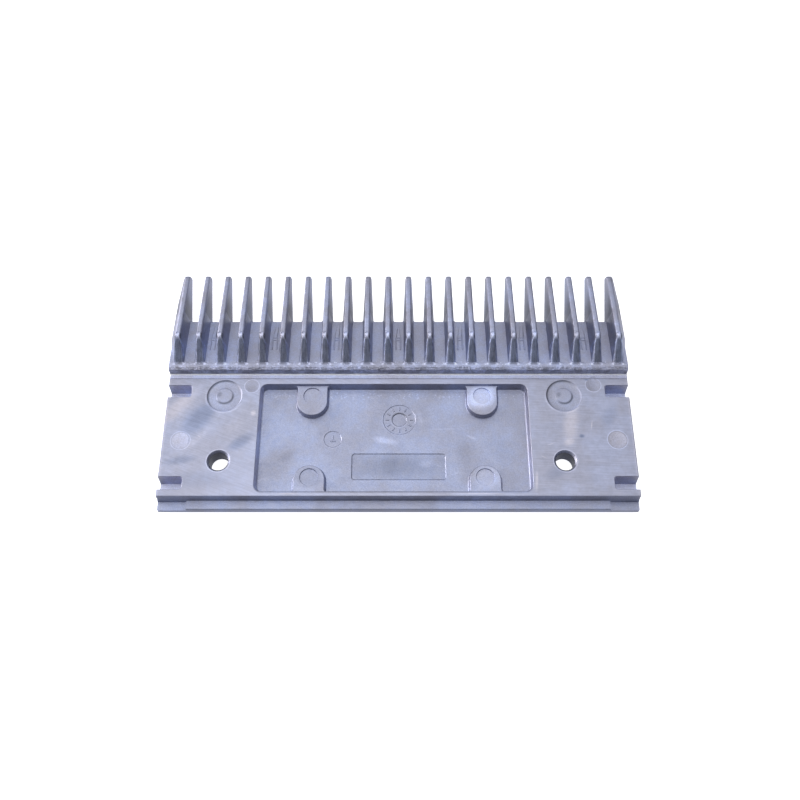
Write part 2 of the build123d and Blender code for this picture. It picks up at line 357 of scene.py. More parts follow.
rim_rows = []
for i, (spot, out) in enumerate(rim):
    ridge = ridge_share(i, len(rim))
    edge = TREAD_EDGE if out.y < -0.5 else KEEL_EDGE + (REAR_EDGE - KEEL_EDGE) * max(0, 1 - i / PATH_STEPS)
    rim_rows.append(rim_row(spot, out, edge, lambda y, z: side_half(y, z, ridge)))
rim_rows[-1] = to_bevel(rim_rows[-1])

web_rows = []
for i, (spot, out) in enumerate(web_path):
    ridge = ridge_share(i, len(web_path))
    if out.y < 0:
        radius = FRONT_FILLET + (GROOVE_FILLET - FRONT_FILLET) * min(1.0, -out.y)
    else:
        radius = WEB_FILLET + (FRONT_FILLET - WEB_FILLET) * out.x ** 2
    web_rows.append(web_row(spot, out, radius, ridge))
web_rows[-1] = to_bevel(web_rows[-1])
print("rows", len(rim_rows), "across the rim and", len(web_rows), "across the web")

# %% [markdown]
# Three sheets and one flat face close the tooth: the rim, the web with its fillet, the sides of the
# tread ridge, and the flank between them. The flank is a true plane, so one many-sided face does.

# %% Sheets of the tooth
lip_row = len(web_rows) - 1 - tread_stations
rim_lip_row = len(rim_rows) - 1 - tread_stations

pitch_skin = Skin()
pitch_skin.sheet(rim_rows)
pitch_skin.sheet(web_rows)
ridge_sides = [
    [rim_rows[rim_lip_row + i][-1], web_rows[lip_row + i][0]]
    for i in range(tread_stations + 1)
]
pitch_skin.sheet(ridge_sides)
flank = [web_rows[0][0]] + [row[-1] for row in rim_rows[:rim_lip_row + 1]]
flank += [row[0] for row in reversed(web_rows[1:lip_row + 1])]
pitch_skin.cap(flank)
print("flank outline has", len(flank), "points")

# %% [markdown]
# The tooth's rear face climbs from the web at about 40 degrees. Its foot needs a fillet that turns
# the corner and meets the side fillet, so we blend rear rings and side rings with a quarter ellipse.
# Outside them the flat web reaches back to the riser, and from there on the plate is the same all the
# way across.

# %% The foot of the tooth
apex_row = rim_rows[0]
climb = Vector((rim[0][0].x - ROOT_Y, rim[0][0].y - web_z(ROOT_Y))).normalized()
climb_out = turn(climb, math.pi / 2)
web_out = web_path[0][1]
foot_turn = math.acos(climb_out.dot(web_out))
foot_reach = ROOT_FILLET * math.tan(foot_turn / 2)
foot_start = Vector((ROOT_Y, web_z(ROOT_Y))) + climb * foot_reach
foot_centre = foot_start + climb_out * ROOT_FILLET
side_ring = web_rows[0][:EDGE_STEPS + 1]
start_half = tooth_half(foot_start.x, foot_start.y) - FOOT_EDGE

rings = []
for k in range(EDGE_STEPS + 1):
    spot = foot_centre - turn(climb_out, foot_turn * k / EDGE_STEPS) * ROOT_FILLET
    side_x, side_y, side_height = side_ring[k]
    ring = [(0.0, spot.x, spot.y), (start_half / 2, spot.x, spot.y)]
    for angle in QUARTER:
        ring.append((
            start_half + (side_x - start_half) * math.sin(angle),
            side_y + (spot.x - side_y) * math.cos(angle),
            side_height + (spot.y - side_height) * math.cos(angle),
        ))
    rings.append(ring)

outer_xs = [0.0, 1.0, 2.1, 2.8, 3.6, PITCH / 2]
outer = [(x, web_edge.x, web_edge.y) for x in outer_xs] + [(PITCH / 2, shore_y, web_z(shore_y))]
middle = [tuple((a + b) / 2 for a, b in zip(p, q)) for p, q in zip(rings[-1], outer)]
pitch_skin.sheet([apex_row, rings[0]])
pitch_skin.sheet(rings + [middle, outer])
print("fillet rings round the foot", len(rings))

# %% The plate behind the teeth
plate_rows = [[(0.0, spot.x, spot.y), (PITCH / 2, spot.x, spot.y)] for spot, out in plate_path]
pitch_skin.sheet(plate_rows[1:])
pitch_skin.cap(outer[:-1] + [plate_rows[1][1], plate_rows[1][0]])
pitch_skin.cap(rim_rows[-1] + web_rows[-1] + [plate_rows[-1][1], plate_rows[-1][0]])
pitch_skin.mirror()
slice_object = pitch_skin.mesh_object("one_pitch")
print("one pitch has", len(slice_object.data.polygons), "faces")

# %% [markdown]
# ## Repeat the pitch with Geometry Nodes
#
# Twenty-two teeth in a row are a job for Geometry Nodes: a line of points, one slice on each point,
# and a weld along the seams. The tree has named inputs, so the count, the pitch and the material can
# be changed without opening it. The result is turned into a plain mesh before anything else happens.
# Both trees of this casting share a few helpers: one adds a node and feeds it, and the others begin
# a tree, put copies on its points, and end it.

# %% Geometry Nodes helpers


def add_node(tree, kind, feeds=None, out=0, **settings):
    """Adds a node. feeds gives its inputs, by name or number, a socket to link or a plain value.
    Returns the output named by out, or all outputs where out is None."""
    node = tree.nodes.new(kind)
    for name, value in settings.items():
        setattr(node, name, value)
    for name, value in (feeds or {}).items():
        if isinstance(value, bpy.types.NodeSocket):
            tree.links.new(value, node.inputs[name])
        else:
            node.inputs[name].default_value = value
    return node.outputs if out is None else node.outputs[out]


def new_tree(name, inputs):
    """A tree with a Geometry output and the given (name, socket type) inputs."""
    tree = bpy.data.node_groups.new(name, "GeometryNodeTree")
    tree.interface.new_socket("Geometry", in_out="OUTPUT", socket_type="NodeSocketGeometry")
    for label, kind in inputs:
        tree.interface.new_socket(label, in_out="INPUT", socket_type="NodeSocket" + kind)
    return tree, add_node(tree, "NodeGroupInput", out=None)


def real_copies(tree, given, points, rotation=(0, 0, 0)):
    """The input piece on every point, as real geometry."""
    piece = add_node(tree, "GeometryNodeObjectInfo", {"Object": given["Piece"]}, "Geometry")
    copies = add_node(tree, "GeometryNodeInstanceOnPoints", {
        "Points": points,
        "Instance": piece,
        "Rotation": rotation,
    })
    return add_node(tree, "GeometryNodeRealizeInstances", {"Geometry": copies})


def give_back(tree, given, geometry):
    """Sets the material and hands the geometry out."""
    feeds = {"Geometry": geometry, "Material": given["Material"]}
    painted = add_node(tree, "GeometryNodeSetMaterial", feeds)
    add_node(tree, "NodeGroupOutput", {"Geometry": painted}, None)


cast_metal = bpy.data.materials.new("as_cast_aluminium")
milled_metal = bpy.data.materials.new("milled_aluminium")
print("finishes", cast_metal.name, "and", milled_metal.name)

# %% The row of teeth


def run_tree(name, tree, values):
    """Runs the tree on an empty object and keeps the result as a plain mesh object."""
    host = new_object(name + "_host", bpy.data.meshes.new(name + "_host"))
    modifier = host.modifiers.new("nodes", "NODES")
    modifier.node_group = tree
    for item in tree.interface.items_tree:
        if item.item_type == "SOCKET" and item.in_out == "INPUT":
            modifier[item.identifier] = values[item.name]
    mesh = plain_mesh(host)
    bpy.data.objects.remove(host)
    mesh.name = name
    return new_object(name, mesh)


row_tree, given = new_tree("repeat along the comb", [
    ("Piece", "Object"),
    ("Count", "Int"),
    ("Spacing", "Float"),
    ("Weld", "Float"),
    ("Material", "Material"),
])
spacing = add_node(row_tree, "ShaderNodeCombineXYZ", {"X": given["Spacing"]})
feeds = {0: given["Count"], 1: -0.5, 2: 0.5}
half_back = add_node(row_tree, "ShaderNodeMath", feeds, operation="MULTIPLY_ADD")
start = add_node(row_tree, "ShaderNodeVectorMath", {0: spacing, "Scale": half_back}, operation="SCALE")
line = add_node(row_tree, "GeometryNodeMeshLine", {
    "Count": given["Count"],
    "Start Location": start,
    "Offset": spacing,
})
welded = add_node(row_tree, "GeometryNodeMergeByDistance", {
    "Geometry": real_copies(row_tree, given, line),
    "Distance": given["Weld"],
})
give_back(row_tree, given, welded)

casting = run_tree("casting", row_tree, {
    "Piece": slice_object,
    "Count": TEETH,
    "Spacing": PITCH * MM,
    "Weld": 0.01 * MM,
    "Material": cast_metal,
})
print("comb row faces", len(casting.data.polygons))

# %% [markdown]
# ## Close the two side ends
#
# The row is still open at its two ends. Each open border is one closed outline, so we walk round it,
# pull it in to the plate's true width and close it with a few rings that shrink as they step out.
# The rings make a soft rounded edge, as on the real plate's sides. At tight corners a shrinking
# outline would fold over itself, so edges that would turn round are left out of the ring.

# %% Push an outline in


def pushed_in(flat, inset):
    """An outline pushed inwards. An edge that would turn over at a tight corner shrinks to a point."""
    count = len(flat)
    ways = [(flat[(i + 1) % count] - flat[i]).normalized() for i in range(count)]
    kept = list(range(count))

    def corner(first, second):
        a = flat[(first + 1) % count] + turn(ways[first], math.pi / 2) * inset
        b = flat[second] + turn(ways[second], math.pi / 2) * inset
        across = ways[first].x * ways[second].y - ways[first].y * ways[second].x
        if abs(across) < 0.001:
            return (a + b) / 2
        return a + ways[first] * ((b - a).x * ways[second].y - (b - a).y * ways[second].x) / across

    while True:
        starts = [corner(kept[k - 1], kept[k]) for k in range(len(kept))]
        lengths = [(starts[(k + 1) % len(kept)] - starts[k]).dot(ways[kept[k]]) for k in range(len(kept))]
        if min(lengths) >= 0:
            break
        kept.pop(lengths.index(min(lengths)))
    place = {edge: k for k, edge in enumerate(kept)}
    spots, last = [], starts[0]
    for edge in reversed(range(count)):
        last = starts[place[edge]] if edge in place else last
        spots.append(last)
    return spots[::-1]


square = [Vector(spot) for spot in ((0, 0), (4, 0), (4, 4), (0, 4))]
print("a 4 mm square pushed in by 1 mm starts at", tuple(pushed_in(square, 1)[0]))

# %% Close the sides


def open_loop(work, side):
    """The vertices of the open border on one side, in order."""
    beside = {}
    for edge in work.edges:
        if edge.is_boundary and edge.verts[0].co.x * side > 0:
            for vert in edge.verts:
                beside.setdefault(vert, []).append(edge.other_vert(vert))
    loop, last = [next(iter(beside))], None
    while True:
        ahead = next(vert for vert in beside[loop[-1]] if vert is not last)
        if ahead is loop[0]:
            return loop
        last = loop[-1]
        loop.append(ahead)


def close_end(work, side, radius, steps=4):
    """Closes the open border on one side of the plate with rounded rings and a flat face."""
    loop = open_loop(work, side)
    flat = [Vector((v.co.y, v.co.z)) for v in loop]
    area = sum(a.x * b.y - b.x * a.y for a, b in zip(flat, flat[1:] + flat[:1]))
    if area < 0:
        loop.reverse()
        flat.reverse()
    for vert in loop:
        vert.co.x = side * (HALF_WIDTH - radius) * MM
    ring = loop
    for k in range(1, steps + 1):
        angle = math.pi / 2 * k / steps
        x = side * (HALF_WIDTH - radius * (1 - math.sin(angle))) * MM
        inset = radius * (1 - math.cos(angle)) * MM
        fresh = [work.verts.new((x, spot.x, spot.y)) for spot in pushed_in(flat, inset)]
        for i in range(len(ring)):
            j = (i + 1) % len(ring)
            work.faces.new((ring[i], ring[j], fresh[j], fresh[i]))
        ring = fresh
    work.faces.new(ring)
    bmesh.ops.remove_doubles(work, verts=[v for v in work.verts if v.co.x * side > 0], dist=WELD * MM)
    return len(loop)


SIDE_ROUNDING = 0.4
work = bmesh.new()
work.from_mesh(casting.data)
for side in (-1, 1):
    print("end outline points", close_end(work, side, SIDE_ROUNDING))
bmesh.ops.recalc_face_normals(work, faces=work.faces)
print("open edges left", sum(edge.is_boundary for edge in work.edges))
work.to_mesh(casting.data)
work.free()

# %% [markdown]
# ## Tools that carve
#
# The pocket, the notches and the round marks are cut with Boolean operations, much as cores and pins
# shape the real casting. A cutter is a plan outline swept up a small side profile. The profile holds
# the floor fillet, the draft of the wall and the rounded rim, so every cut has soft corners. Round
# cutters are turned like on a lathe.

# %% Cutters
SMALL_STEPS, ROUND_STEPS, FINE_STEPS = 16, 48, 64


def cutter_from(skin, name):
    """A tool for carve. It never shows in a render."""
    made = skin.mesh_object(name)
    made.data.materials.append(cast_metal)
    made.hide_render = True
    return made


def swept(skin, outline, profile):
    """A closed solid from an outline of (point, normal) pairs and a profile of (offset, z) pairs, from
    the bottom up. An offset may be a function of the normal."""
    rows = []
    for offset, z in profile:
        row = []
        for spot, out in outline:
            push = offset(out) if callable(offset) else offset
            at = spot + out * push
            row.append((at.x, at.y, z))
        rows.append(row)
    skin.sheet(rows, closed=True)
    skin.cap(rows[0])
    skin.cap(rows[-1])


def lathe(skin, x, y, profile, steps=ROUND_STEPS):
    """A closed round solid from (radius, z) pairs that start and end on the axis."""
    angles = [2 * math.pi * k / steps for k in range(steps)]
    rows = [
        [(x + radius * math.cos(t), y + radius * math.sin(t), z) for t in angles]
        for radius, z in profile
    ]
    skin.sheet(rows, closed=True)


def arc(centre_a, centre_b, radius, start, end, steps=EDGE_STEPS):
    """Points on an arc, angles in degrees."""
    angles = [math.radians(start + (end - start) * k / steps) for k in range(steps + 1)]
    return [(centre_a + radius * math.cos(t), centre_b + radius * math.sin(t)) for t in angles]


print("round tools have", SMALL_STEPS, ROUND_STEPS, "or", FINE_STEPS, "sides")

# %% Carve


def carve(target, tool, operation="DIFFERENCE"):
    """Cuts the tool out of the target, or joins it on, and keeps the plain result."""
    modifier = target.modifiers.new("carve", "BOOLEAN")
    modifier.operation = operation
    modifier.solver = "MANIFOLD"
    modifier.object = tool
    mesh = plain_mesh(target)
    target.modifiers.clear()
    old = target.data
    target.data = mesh
    mesh.name = target.name
    bpy.data.meshes.remove(old)
    bpy.data.objects.remove(tool)
    print(operation.lower(), "faces now", len(mesh.polygons))


# %% [markdown]
# ### The two end teeth
#
# The outer flank of each end tooth leans out until it meets the plate's side, so that two plates can
# stand side by side. We add this cheek as a solid of its own: rows round the rim, as before, but with
# a half thickness that grows faster and stops at the plate's side.

# %% Cheeks of the end teeth
END_X = (TEETH - 1) / 2 * PITCH
SIDE_X = HALF_WIDTH - END_X - 0.004
CLIP_DEPTH = (SIDE_X - KEEL_HALF) / math.tan(END_DRAFT)
HAIR = 0.005
to_keel = Vector((KEEL_FALL, 1)) * math.cos(math.atan(KEEL_FALL))


def leaning_half(y, z):
    """The half thickness towards the plate's side."""
    return min(SIDE_X, KEEL_HALF + keel_depth(y, z) * math.tan(END_DRAFT))


def clip_spot(corner, way, out):
    """Where a straight stretch of the rim is so deep that the leaning flank meets the side."""
    depth = keel_depth(corner.x, corner.y) + to_keel.dot(out) * KEEL_EDGE
    return corner - way * (CLIP_DEPTH - depth) / to_keel.dot(way)


apex, root = Vector((APEX_Y, APEX_Z)), Vector((ROOT_Y, web_z(ROOT_Y)))
tread_way = Vector((-math.cos(SLOPE), -math.sin(SLOPE)))
rear_clip = clip_spot(apex, -climb, climb_out)
front_clip = clip_spot(Vector((LENGTH, tread_z(LENGTH))), tread_way, turn(tread_way, math.pi / 2))
buried_y = WEB_FRONT_Y - 3.0
cheek_path = rounded([
    (*(root - climb * 1.2), 0),
    (*rear_clip, 0),
    (APEX_Y, APEX_Z, APEX_RADIUS),
    (LENGTH, TIP_Z, TIP_RADIUS),
    (LENGTH, tread_z(LENGTH), TIP_TREAD_RADIUS),
    (*front_clip, 0),
    (buried_y, tread_z(buried_y), 0),
], steps=PATH_STEPS)
cheek_rows = [rim_row(spot - out * HAIR, out, KEEL_EDGE, leaning_half) for spot, out in cheek_path]
deep = [cheek_path[0][0] - cheek_path[0][1] * 3.0, cheek_path[-1][0] - cheek_path[-1][1] * 2.0]
inside = [(0.0, *spot) for spot in deep]
outside = [(SIDE_X, *spot) for spot in deep]
cheeks = Skin()
cheeks.sheet(cheek_rows)
cheeks.cap(cheek_rows[0] + [outside[0], inside[0]])
cheeks.cap(cheek_rows[-1] + [outside[1], inside[1]])
cheeks.cap([inside[0], outside[0], outside[1], inside[1]])
cheeks.cap([row[0] for row in cheek_rows] + [inside[1], inside[0]])
cheeks.cap([row[-1] for row in cheek_rows[1:-1]])
cheeks.cap([cheek_rows[i][-1] for i in (0, 1, -2, -1)] + [outside[1], outside[0]])
print("a cheek reaches the side", round(CLIP_DEPTH, 2), "mm below the keel")

# %% [markdown]
# Behind the apex a diagonal facet runs from the rear face's edge out to the plate's side. A block laid
# along that facet cuts it off the cheek, and then the cheek is joined to the casting.

# %% Diagonal facet
BLOCK_START, BLOCK_REACH, BLOCK_DEPTH = -9, 30, 12
foot_half = KEEL_HALF + (APEX_Z + (APEX_Y - ROOT_Y) * KEEL_FALL - web_z(ROOT_Y)) * math.tan(TOOTH_DRAFT)
facet_top = Vector((KEEL_HALF, APEX_Y, APEX_Z))
facet_foot = Vector((foot_half, ROOT_Y, web_z(ROOT_Y)))
facet_far = Vector((SIDE_X, APEX_Y, web_z(APEX_Y)))
along = (facet_foot - facet_top).normalized()
facet_out = along.cross(facet_far - facet_top).normalized()
facet_out *= math.copysign(1, facet_out.x)
across = facet_out.cross(along)
corners = Skin()
block = [
    [facet_top + along * a + across * b + facet_out * c
     for a, b in ((BLOCK_START, -BLOCK_REACH), (BLOCK_REACH, -BLOCK_REACH),
                  (BLOCK_REACH, BLOCK_REACH), (BLOCK_START, BLOCK_REACH))]
    for c in (0, BLOCK_DEPTH)
]
corners.sheet(block, closed=True)
corners.cap(block[0])
corners.cap(block[1])
for solid in (cheeks, corners):
    solid.points = [(x + END_X, y, z) for x, y, z in solid.points]
    solid.mirror()
cheek_object = cutter_from(cheeks, "cheeks")
carve(cheek_object, cutter_from(corners, "rear_corners"))
carve(casting, cheek_object, "UNION")

# %% [markdown]
# ### The core pocket and the location notches
#
# The pocket is a rounded rectangle with a 10 degree draft. Its rim is crisp on three sides. On the
# rear side it is worn into a broad bright edge, so the rim's width grows where the outline's normal
# points to the rear. The notches are open to the plate's sides, so their outline simply runs past.
# All cuts of this kind are collected in one tool, so that a single Boolean operation makes them.

# %% Profile of a hollow
POCKET_DEPTH, CAST_DRAFT = 4.0, math.radians(10.0)
POCKET_X, POCKET_Y = (-59.7, 55.8), (6.4, 56.0)
NOTCH_DEPTH, NOTCH_DRAFT, NOTCH_WIDTH, NOTCH_LENGTH = 6.5, math.radians(7.0), 10.3, 5.7
NOTCH_YS = (10.1, 52.6)
POCKET_FLOOR = SEAT_Z - POCKET_DEPTH


def rectangle(x0, x1, y0, y1, radius, steps=6):
    """A rounded rectangle, clockwise, so that its outside is on the left."""
    corners = [(x0, y0, radius), (x0, y1, radius), (x1, y1, radius), (x1, y0, radius)]
    return rounded(corners, steps, closed=True)


def widened(base, out_by, rear_rim):
    """An offset that grows towards the rear side of a hollow."""
    return lambda out: base + out_by * (1 + (rear_rim - 1) * max(0.0, -out.y))


def hollow_profile(floor_z, top_z, draft, fillet, rim, rear_rim=1.0):
    """Floor fillet, drafted wall and rounded rim, as offsets from the wall's foot."""
    lean = math.tan(draft)
    reach = fillet * math.tan((math.pi / 2 - draft) / 2)
    profile = arc(-reach, floor_z + fillet, fillet, -90, -math.degrees(draft), 5)
    rim_foot = (top_z - rim - floor_z) * lean
    for angle in (0, 20, 40, 60, 80):
        out_by = rim * (1 - math.cos(math.radians(angle)))
        rise = rim * math.sin(math.radians(angle))
        profile.append((widened(rim_foot + rise * lean, out_by, rear_rim), top_z - rim + rise))
    over = widened(rim_foot + rim * lean, rim * 1.25, rear_rim)
    return profile + [(over, top_z + rim * 0.1), (over, top_z + 1.5)]


print("pocket floor at", POCKET_FLOOR, "mm, notch floor at", SEAT_Z - NOTCH_DEPTH, "mm")

# %% Pocket and notches
first_cuts = Skin()
inset = POCKET_DEPTH * math.tan(CAST_DRAFT)
pocket = rectangle(POCKET_X[0] + inset, POCKET_X[1] - inset, POCKET_Y[0] + inset, POCKET_Y[1] - inset, 2.4)
swept(first_cuts, pocket, hollow_profile(POCKET_FLOOR, SEAT_Z, CAST_DRAFT, 0.8, 0.3, 3.0))

notch_inset = NOTCH_DEPTH * math.tan(NOTCH_DRAFT)
for side in (-1, 1):
    for y in NOTCH_YS:
        inner = side * (HALF_WIDTH - NOTCH_WIDTH + notch_inset)
        past = side * (HALF_WIDTH + 4)
        half = NOTCH_LENGTH / 2 - notch_inset
        outline = rectangle(min(inner, past), max(inner, past), y - half, y + half, 0.3, 4)
        swept(first_cuts, outline, hollow_profile(SEAT_Z - NOTCH_DEPTH, SEAT_Z, NOTCH_DRAFT, 0.5, 0.2))
print("faces of the tool so far", len(first_cuts.faces))

# %% [markdown]
# ### Screw holes and ejector marks
#
# The screw holes come from the record's mount, with a countersink on the tread side. Ejector pins
# push a casting out of its mould and leave round witness marks: two ringed ones and four plain ones
# in the seats. They are shallow, but their rims catch the light.

# %% Round cuts in the seats
SINK_RADIUS, SEAT_CHAMFER = 6.0, 0.75
screws = next(mount for mount in record["mounts"] if mount["kind"] == "bolt_pattern")
screw_x, screw_y = screws["pos_m"][0] / MM, screws["pos_m"][1] / MM - REAR_Y
SCREW_XS = [screw_x + side * screws["dims"]["spacing_x_mm"] / 2 for side in (-1, 1)]
hole_radius = screws["dims"]["hole_r_mm"]
sink_depth = SINK_RADIUS - hole_radius
hole_profile = [
    (0, -1.5), (SINK_RADIUS + 1.5, -1.5), (SINK_RADIUS, 0), (hole_radius + 0.1, sink_depth - 0.1),
    (hole_radius, sink_depth + 0.15), (hole_radius, SEAT_Z - SEAT_CHAMFER - 0.1),
    (hole_radius + 0.05, SEAT_Z - SEAT_CHAMFER), (hole_radius + SEAT_CHAMFER - 0.05, SEAT_Z - 0.1),
    (hole_radius + SEAT_CHAMFER + 0.1, SEAT_Z), (hole_radius + 2.0, SEAT_Z + 1.0), (0, SEAT_Z + 1.0),
]
for x in SCREW_XS:
    lathe(first_cuts, x, screw_y, hole_profile, FINE_STEPS)


def pin_mark(skin, x, y, radius, top_z, depth, tilt=0.25):
    """A shallow flat-bottomed round mark with a slanting rim."""
    lathe(skin, x, y, [
        (0, top_z - depth), (radius - tilt, top_z - depth), (radius, top_z),
        (radius + tilt, top_z + tilt), (radius + tilt, top_z + 1), (0, top_z + 1),
    ])


RING_MARKS, SEAT_PIN_DEPTH = ((-75.0, 50.4), (71.4, 50.4)), 0.22
SEAT_PINS = [(side * (HALF_WIDTH - from_edge), y, radius) for side, from_edge, y, radius in (
    (-1, 36.2, 55.0, 3.0), (1, 15.2, 55.6, 3.2), (-1, 7.8, 29.2, 4.0), (1, 7.2, 29.6, 4.1))]
for x, y in RING_MARKS:
    lathe(first_cuts, x, y, [
        (0, SEAT_Z - 0.1), (3.3, SEAT_Z - 0.1), (3.5, SEAT_Z - 0.15), (3.95, SEAT_Z - 0.42),
        (6.95, SEAT_Z - 0.42), (7.5, SEAT_Z - 0.08), (7.7, SEAT_Z), (8.2, SEAT_Z + 0.5), (0, SEAT_Z + 0.5),
    ], FINE_STEPS)
for x, y, radius in SEAT_PINS:
    pin_mark(first_cuts, x, y, radius, SEAT_Z, SEAT_PIN_DEPTH, 0.4)
print("screw holes at x", [round(x, 1) for x in SCREW_XS], "and y", round(screw_y, 1), "mm")

# %% [markdown]
# At its two ends the rear ledge lies a little deeper. With these two cuts the tool is complete.

# %% Deeper ends of the rear ledge
LEDGE_END_LENGTH, LEDGE_END_EXTRA = 12.0, 1.3
for side in (-1, 1):
    near, far = side * (HALF_WIDTH - LEDGE_END_LENGTH), side * (HALF_WIDTH + 2)
    outline = rectangle(min(near, far), max(near, far), -2, LEDGE_WIDTH - wall_run - 0.25, 0.3)
    low = LEDGE_Z - LEDGE_END_EXTRA
    swept(first_cuts, outline, [
        (-0.2, low), (-0.06, low + 0.06), (0, low + 0.2), (0.16, low + 1.5), (0.2, SEAT_Z - 1.5),
    ])
carve(casting, cutter_from(first_cuts, "first_cuts"))

# %% [markdown]
# ### Four bosses in the pocket
#
# Each boss grows out of the pocket's wall and ends in a round nose. Its outline follows the wall's
# line a little way on both sides, sunk a hair into it, so the corner between boss and wall gets a
# fillet that keeps its draft all the way up. The boss is joined on, and the pin marks in the tops
# are cut afterwards.

# %% Bosses
BOSS_XS, BOSS_WIDTH, BOSS_TOP = (-37.2, 36.2), 13.9, SEAT_Z - 1.3
BOSS_NOSE_FAR, BOSS_NOSE_NEAR = 41.3, 19.0
BOSS_PIN_YS, BOSS_PIN_RADIUS, BOSS_PIN_DEPTH = (51.0, 13.2), 3.9, 0.45
BOSS_BACK, BOSS_FLANK, BOSS_FILLET, SUNK = 1.2, 2.0, 0.8, 0.03


def boss_outline(x, wall_y, nose_y):
    """Clockwise outline at the pocket floor, for a nose that points either way."""
    way = math.copysign(1, nose_y - wall_y)
    half = BOSS_WIDTH / 2
    root = wall_y - way * SUNK
    back = wall_y - way * BOSS_BACK
    wide = half + BOSS_FLANK
    corners = [
        (x - wide, back, 0), (x + wide, back, 0), (x + wide, root, 0),
        (x + half, root, BOSS_FILLET), (x + half, nose_y, half * 0.99),
        (x - half, nose_y, half * 0.99), (x - half, root, BOSS_FILLET), (x - wide, root, 0),
    ]
    if way > 0:
        corners.reverse()
    return rounded(corners, 7, closed=True)


def mound_profile(floor_z, top_z, draft, flare, edge):
    """Flared foot, drafted wall and rounded top edge, as offsets from the wall's foot."""
    low = floor_z - SUNK
    reach = flare * math.tan((math.pi / 2 - draft) / 2)
    lean = math.degrees(draft)
    top_in = -(top_z - edge - floor_z) * math.tan(draft) - edge / math.cos(draft)
    return (
        [(reach, low - 1)]
        + arc(reach, low + flare, flare, -90, -180 + lean)
        + arc(top_in, top_z - edge, edge, lean, 90)
    )


bosses = Skin()
for x in BOSS_XS:
    for wall_y, nose_y in ((POCKET_Y[1] - inset, BOSS_NOSE_FAR), (POCKET_Y[0] + inset, BOSS_NOSE_NEAR)):
        mound = mound_profile(POCKET_FLOOR, BOSS_TOP, CAST_DRAFT, 0.5, 0.35)
        swept(bosses, boss_outline(x, wall_y, nose_y), mound)
carve(casting, cutter_from(bosses, "bosses"), "UNION")

# %% [markdown]
# ### Marks in the pocket and on the bosses
#
# Mould inserts leave a round date dial, a small round mark and a blank label field. They are only
# a few tenths of a millimetre deep, and their walls slope, so that the casting lets go of the mould.

# %% Marks of the mould inserts
DIAL_X, DIAL_Y, DIAL_RADIUS, HUB_RADIUS = 0.4, 40.8, 7.1, 3.25
SMALL_MARK_X, SMALL_MARK_Y, SMALL_MARK_RADIUS = -28.0, 31.6, 3.9
LABEL_X, LABEL_Y, LABEL_DEPTH = (-19.8, 20.1), (12.9, 25.0), 0.25
DISC_DEPTH, HUB_DEPTH = 0.2, 0.45

marks = Skin()
for x in BOSS_XS:
    for y in BOSS_PIN_YS:
        pin_mark(marks, x, y, BOSS_PIN_RADIUS, BOSS_TOP, BOSS_PIN_DEPTH, 0.2)
lathe(marks, DIAL_X, DIAL_Y, [
    (0, POCKET_FLOOR - HUB_DEPTH), (HUB_RADIUS - 0.3, POCKET_FLOOR - HUB_DEPTH),
    (HUB_RADIUS, POCKET_FLOOR - DISC_DEPTH), (DIAL_RADIUS - 0.3, POCKET_FLOOR - DISC_DEPTH),
    (DIAL_RADIUS, POCKET_FLOOR),
    (DIAL_RADIUS + 0.3, POCKET_FLOOR + 0.3), (0, POCKET_FLOOR + 0.3),
], FINE_STEPS)
pin_mark(marks, SMALL_MARK_X, SMALL_MARK_Y, SMALL_MARK_RADIUS, POCKET_FLOOR, DISC_DEPTH, 0.3)
label = rectangle(*LABEL_X, *LABEL_Y, 1.5)
swept(marks, label, [(0.4 * k, POCKET_FLOOR + LABEL_DEPTH * k) for k in (-1, 0, 1)])
carve(casting, cutter_from(marks, "marks"))

# %% [markdown]
# The apex of every tooth has a small round dimple from an ejector pin, and every third gap carries a
# small raised stamp. Both reuse the tree that made the row, with other inputs. The date dial has one
# plain bar for each month, and a second tree places them round a circle.

# %% Repeated small marks
STAMP_Y, STAMP_LENGTH, STAMP_WIDTH, STAMP_LINE, STAMP_HEIGHT = 74.7, 7.0, 2.4, 0.45, 0.22
STAMP_STEP = 3
DIMPLE_RADIUS, DIMPLE_DEPTH = 0.75, 0.3


def raised_bar(skin, x0, x1, y0, y1, base_z, height):
    """A low bar with sloping sides, sunk into what carries it."""
    profile = [(0.08, base_z - 0.3), (0.08, base_z), (-0.06, base_z + height)]
    swept(skin, rectangle(x0, x1, y0, y1, 0.12, 2), profile)


stamp = Skin()
half_l, half_w = STAMP_LENGTH / 2, STAMP_WIDTH / 2
for x0, x1, y0, y1 in (
    (-half_w, -half_w + STAMP_LINE, -half_l, half_l),
    (half_w - STAMP_LINE, half_w, -half_l, half_l),
    (-half_w + 0.2, half_w - 0.2, half_l - STAMP_LINE, half_l),
    (-half_w + 0.2, half_w - 0.2, half_l - 1.9, half_l - 1.9 + STAMP_LINE),
):
    raised_bar(stamp, x0, x1, STAMP_Y + y0, STAMP_Y + y1, 0, STAMP_HEIGHT)
stamp.points = [(x, y, z + web_z(y)) for x, y, z in stamp.points]
dimple = Skin()
dimple_y, dimple_z = rim[PATH_STEPS - 1][0].x, rim[PATH_STEPS][0].y
lathe(dimple, 0, dimple_y, [
    (0, dimple_z - DIMPLE_DEPTH), (DIMPLE_RADIUS - 0.2, dimple_z - DIMPLE_DEPTH),
    (DIMPLE_RADIUS, dimple_z + 0.1), (DIMPLE_RADIUS + 0.1, dimple_z + 0.8), (0, dimple_z + 0.8),
], SMALL_STEPS)
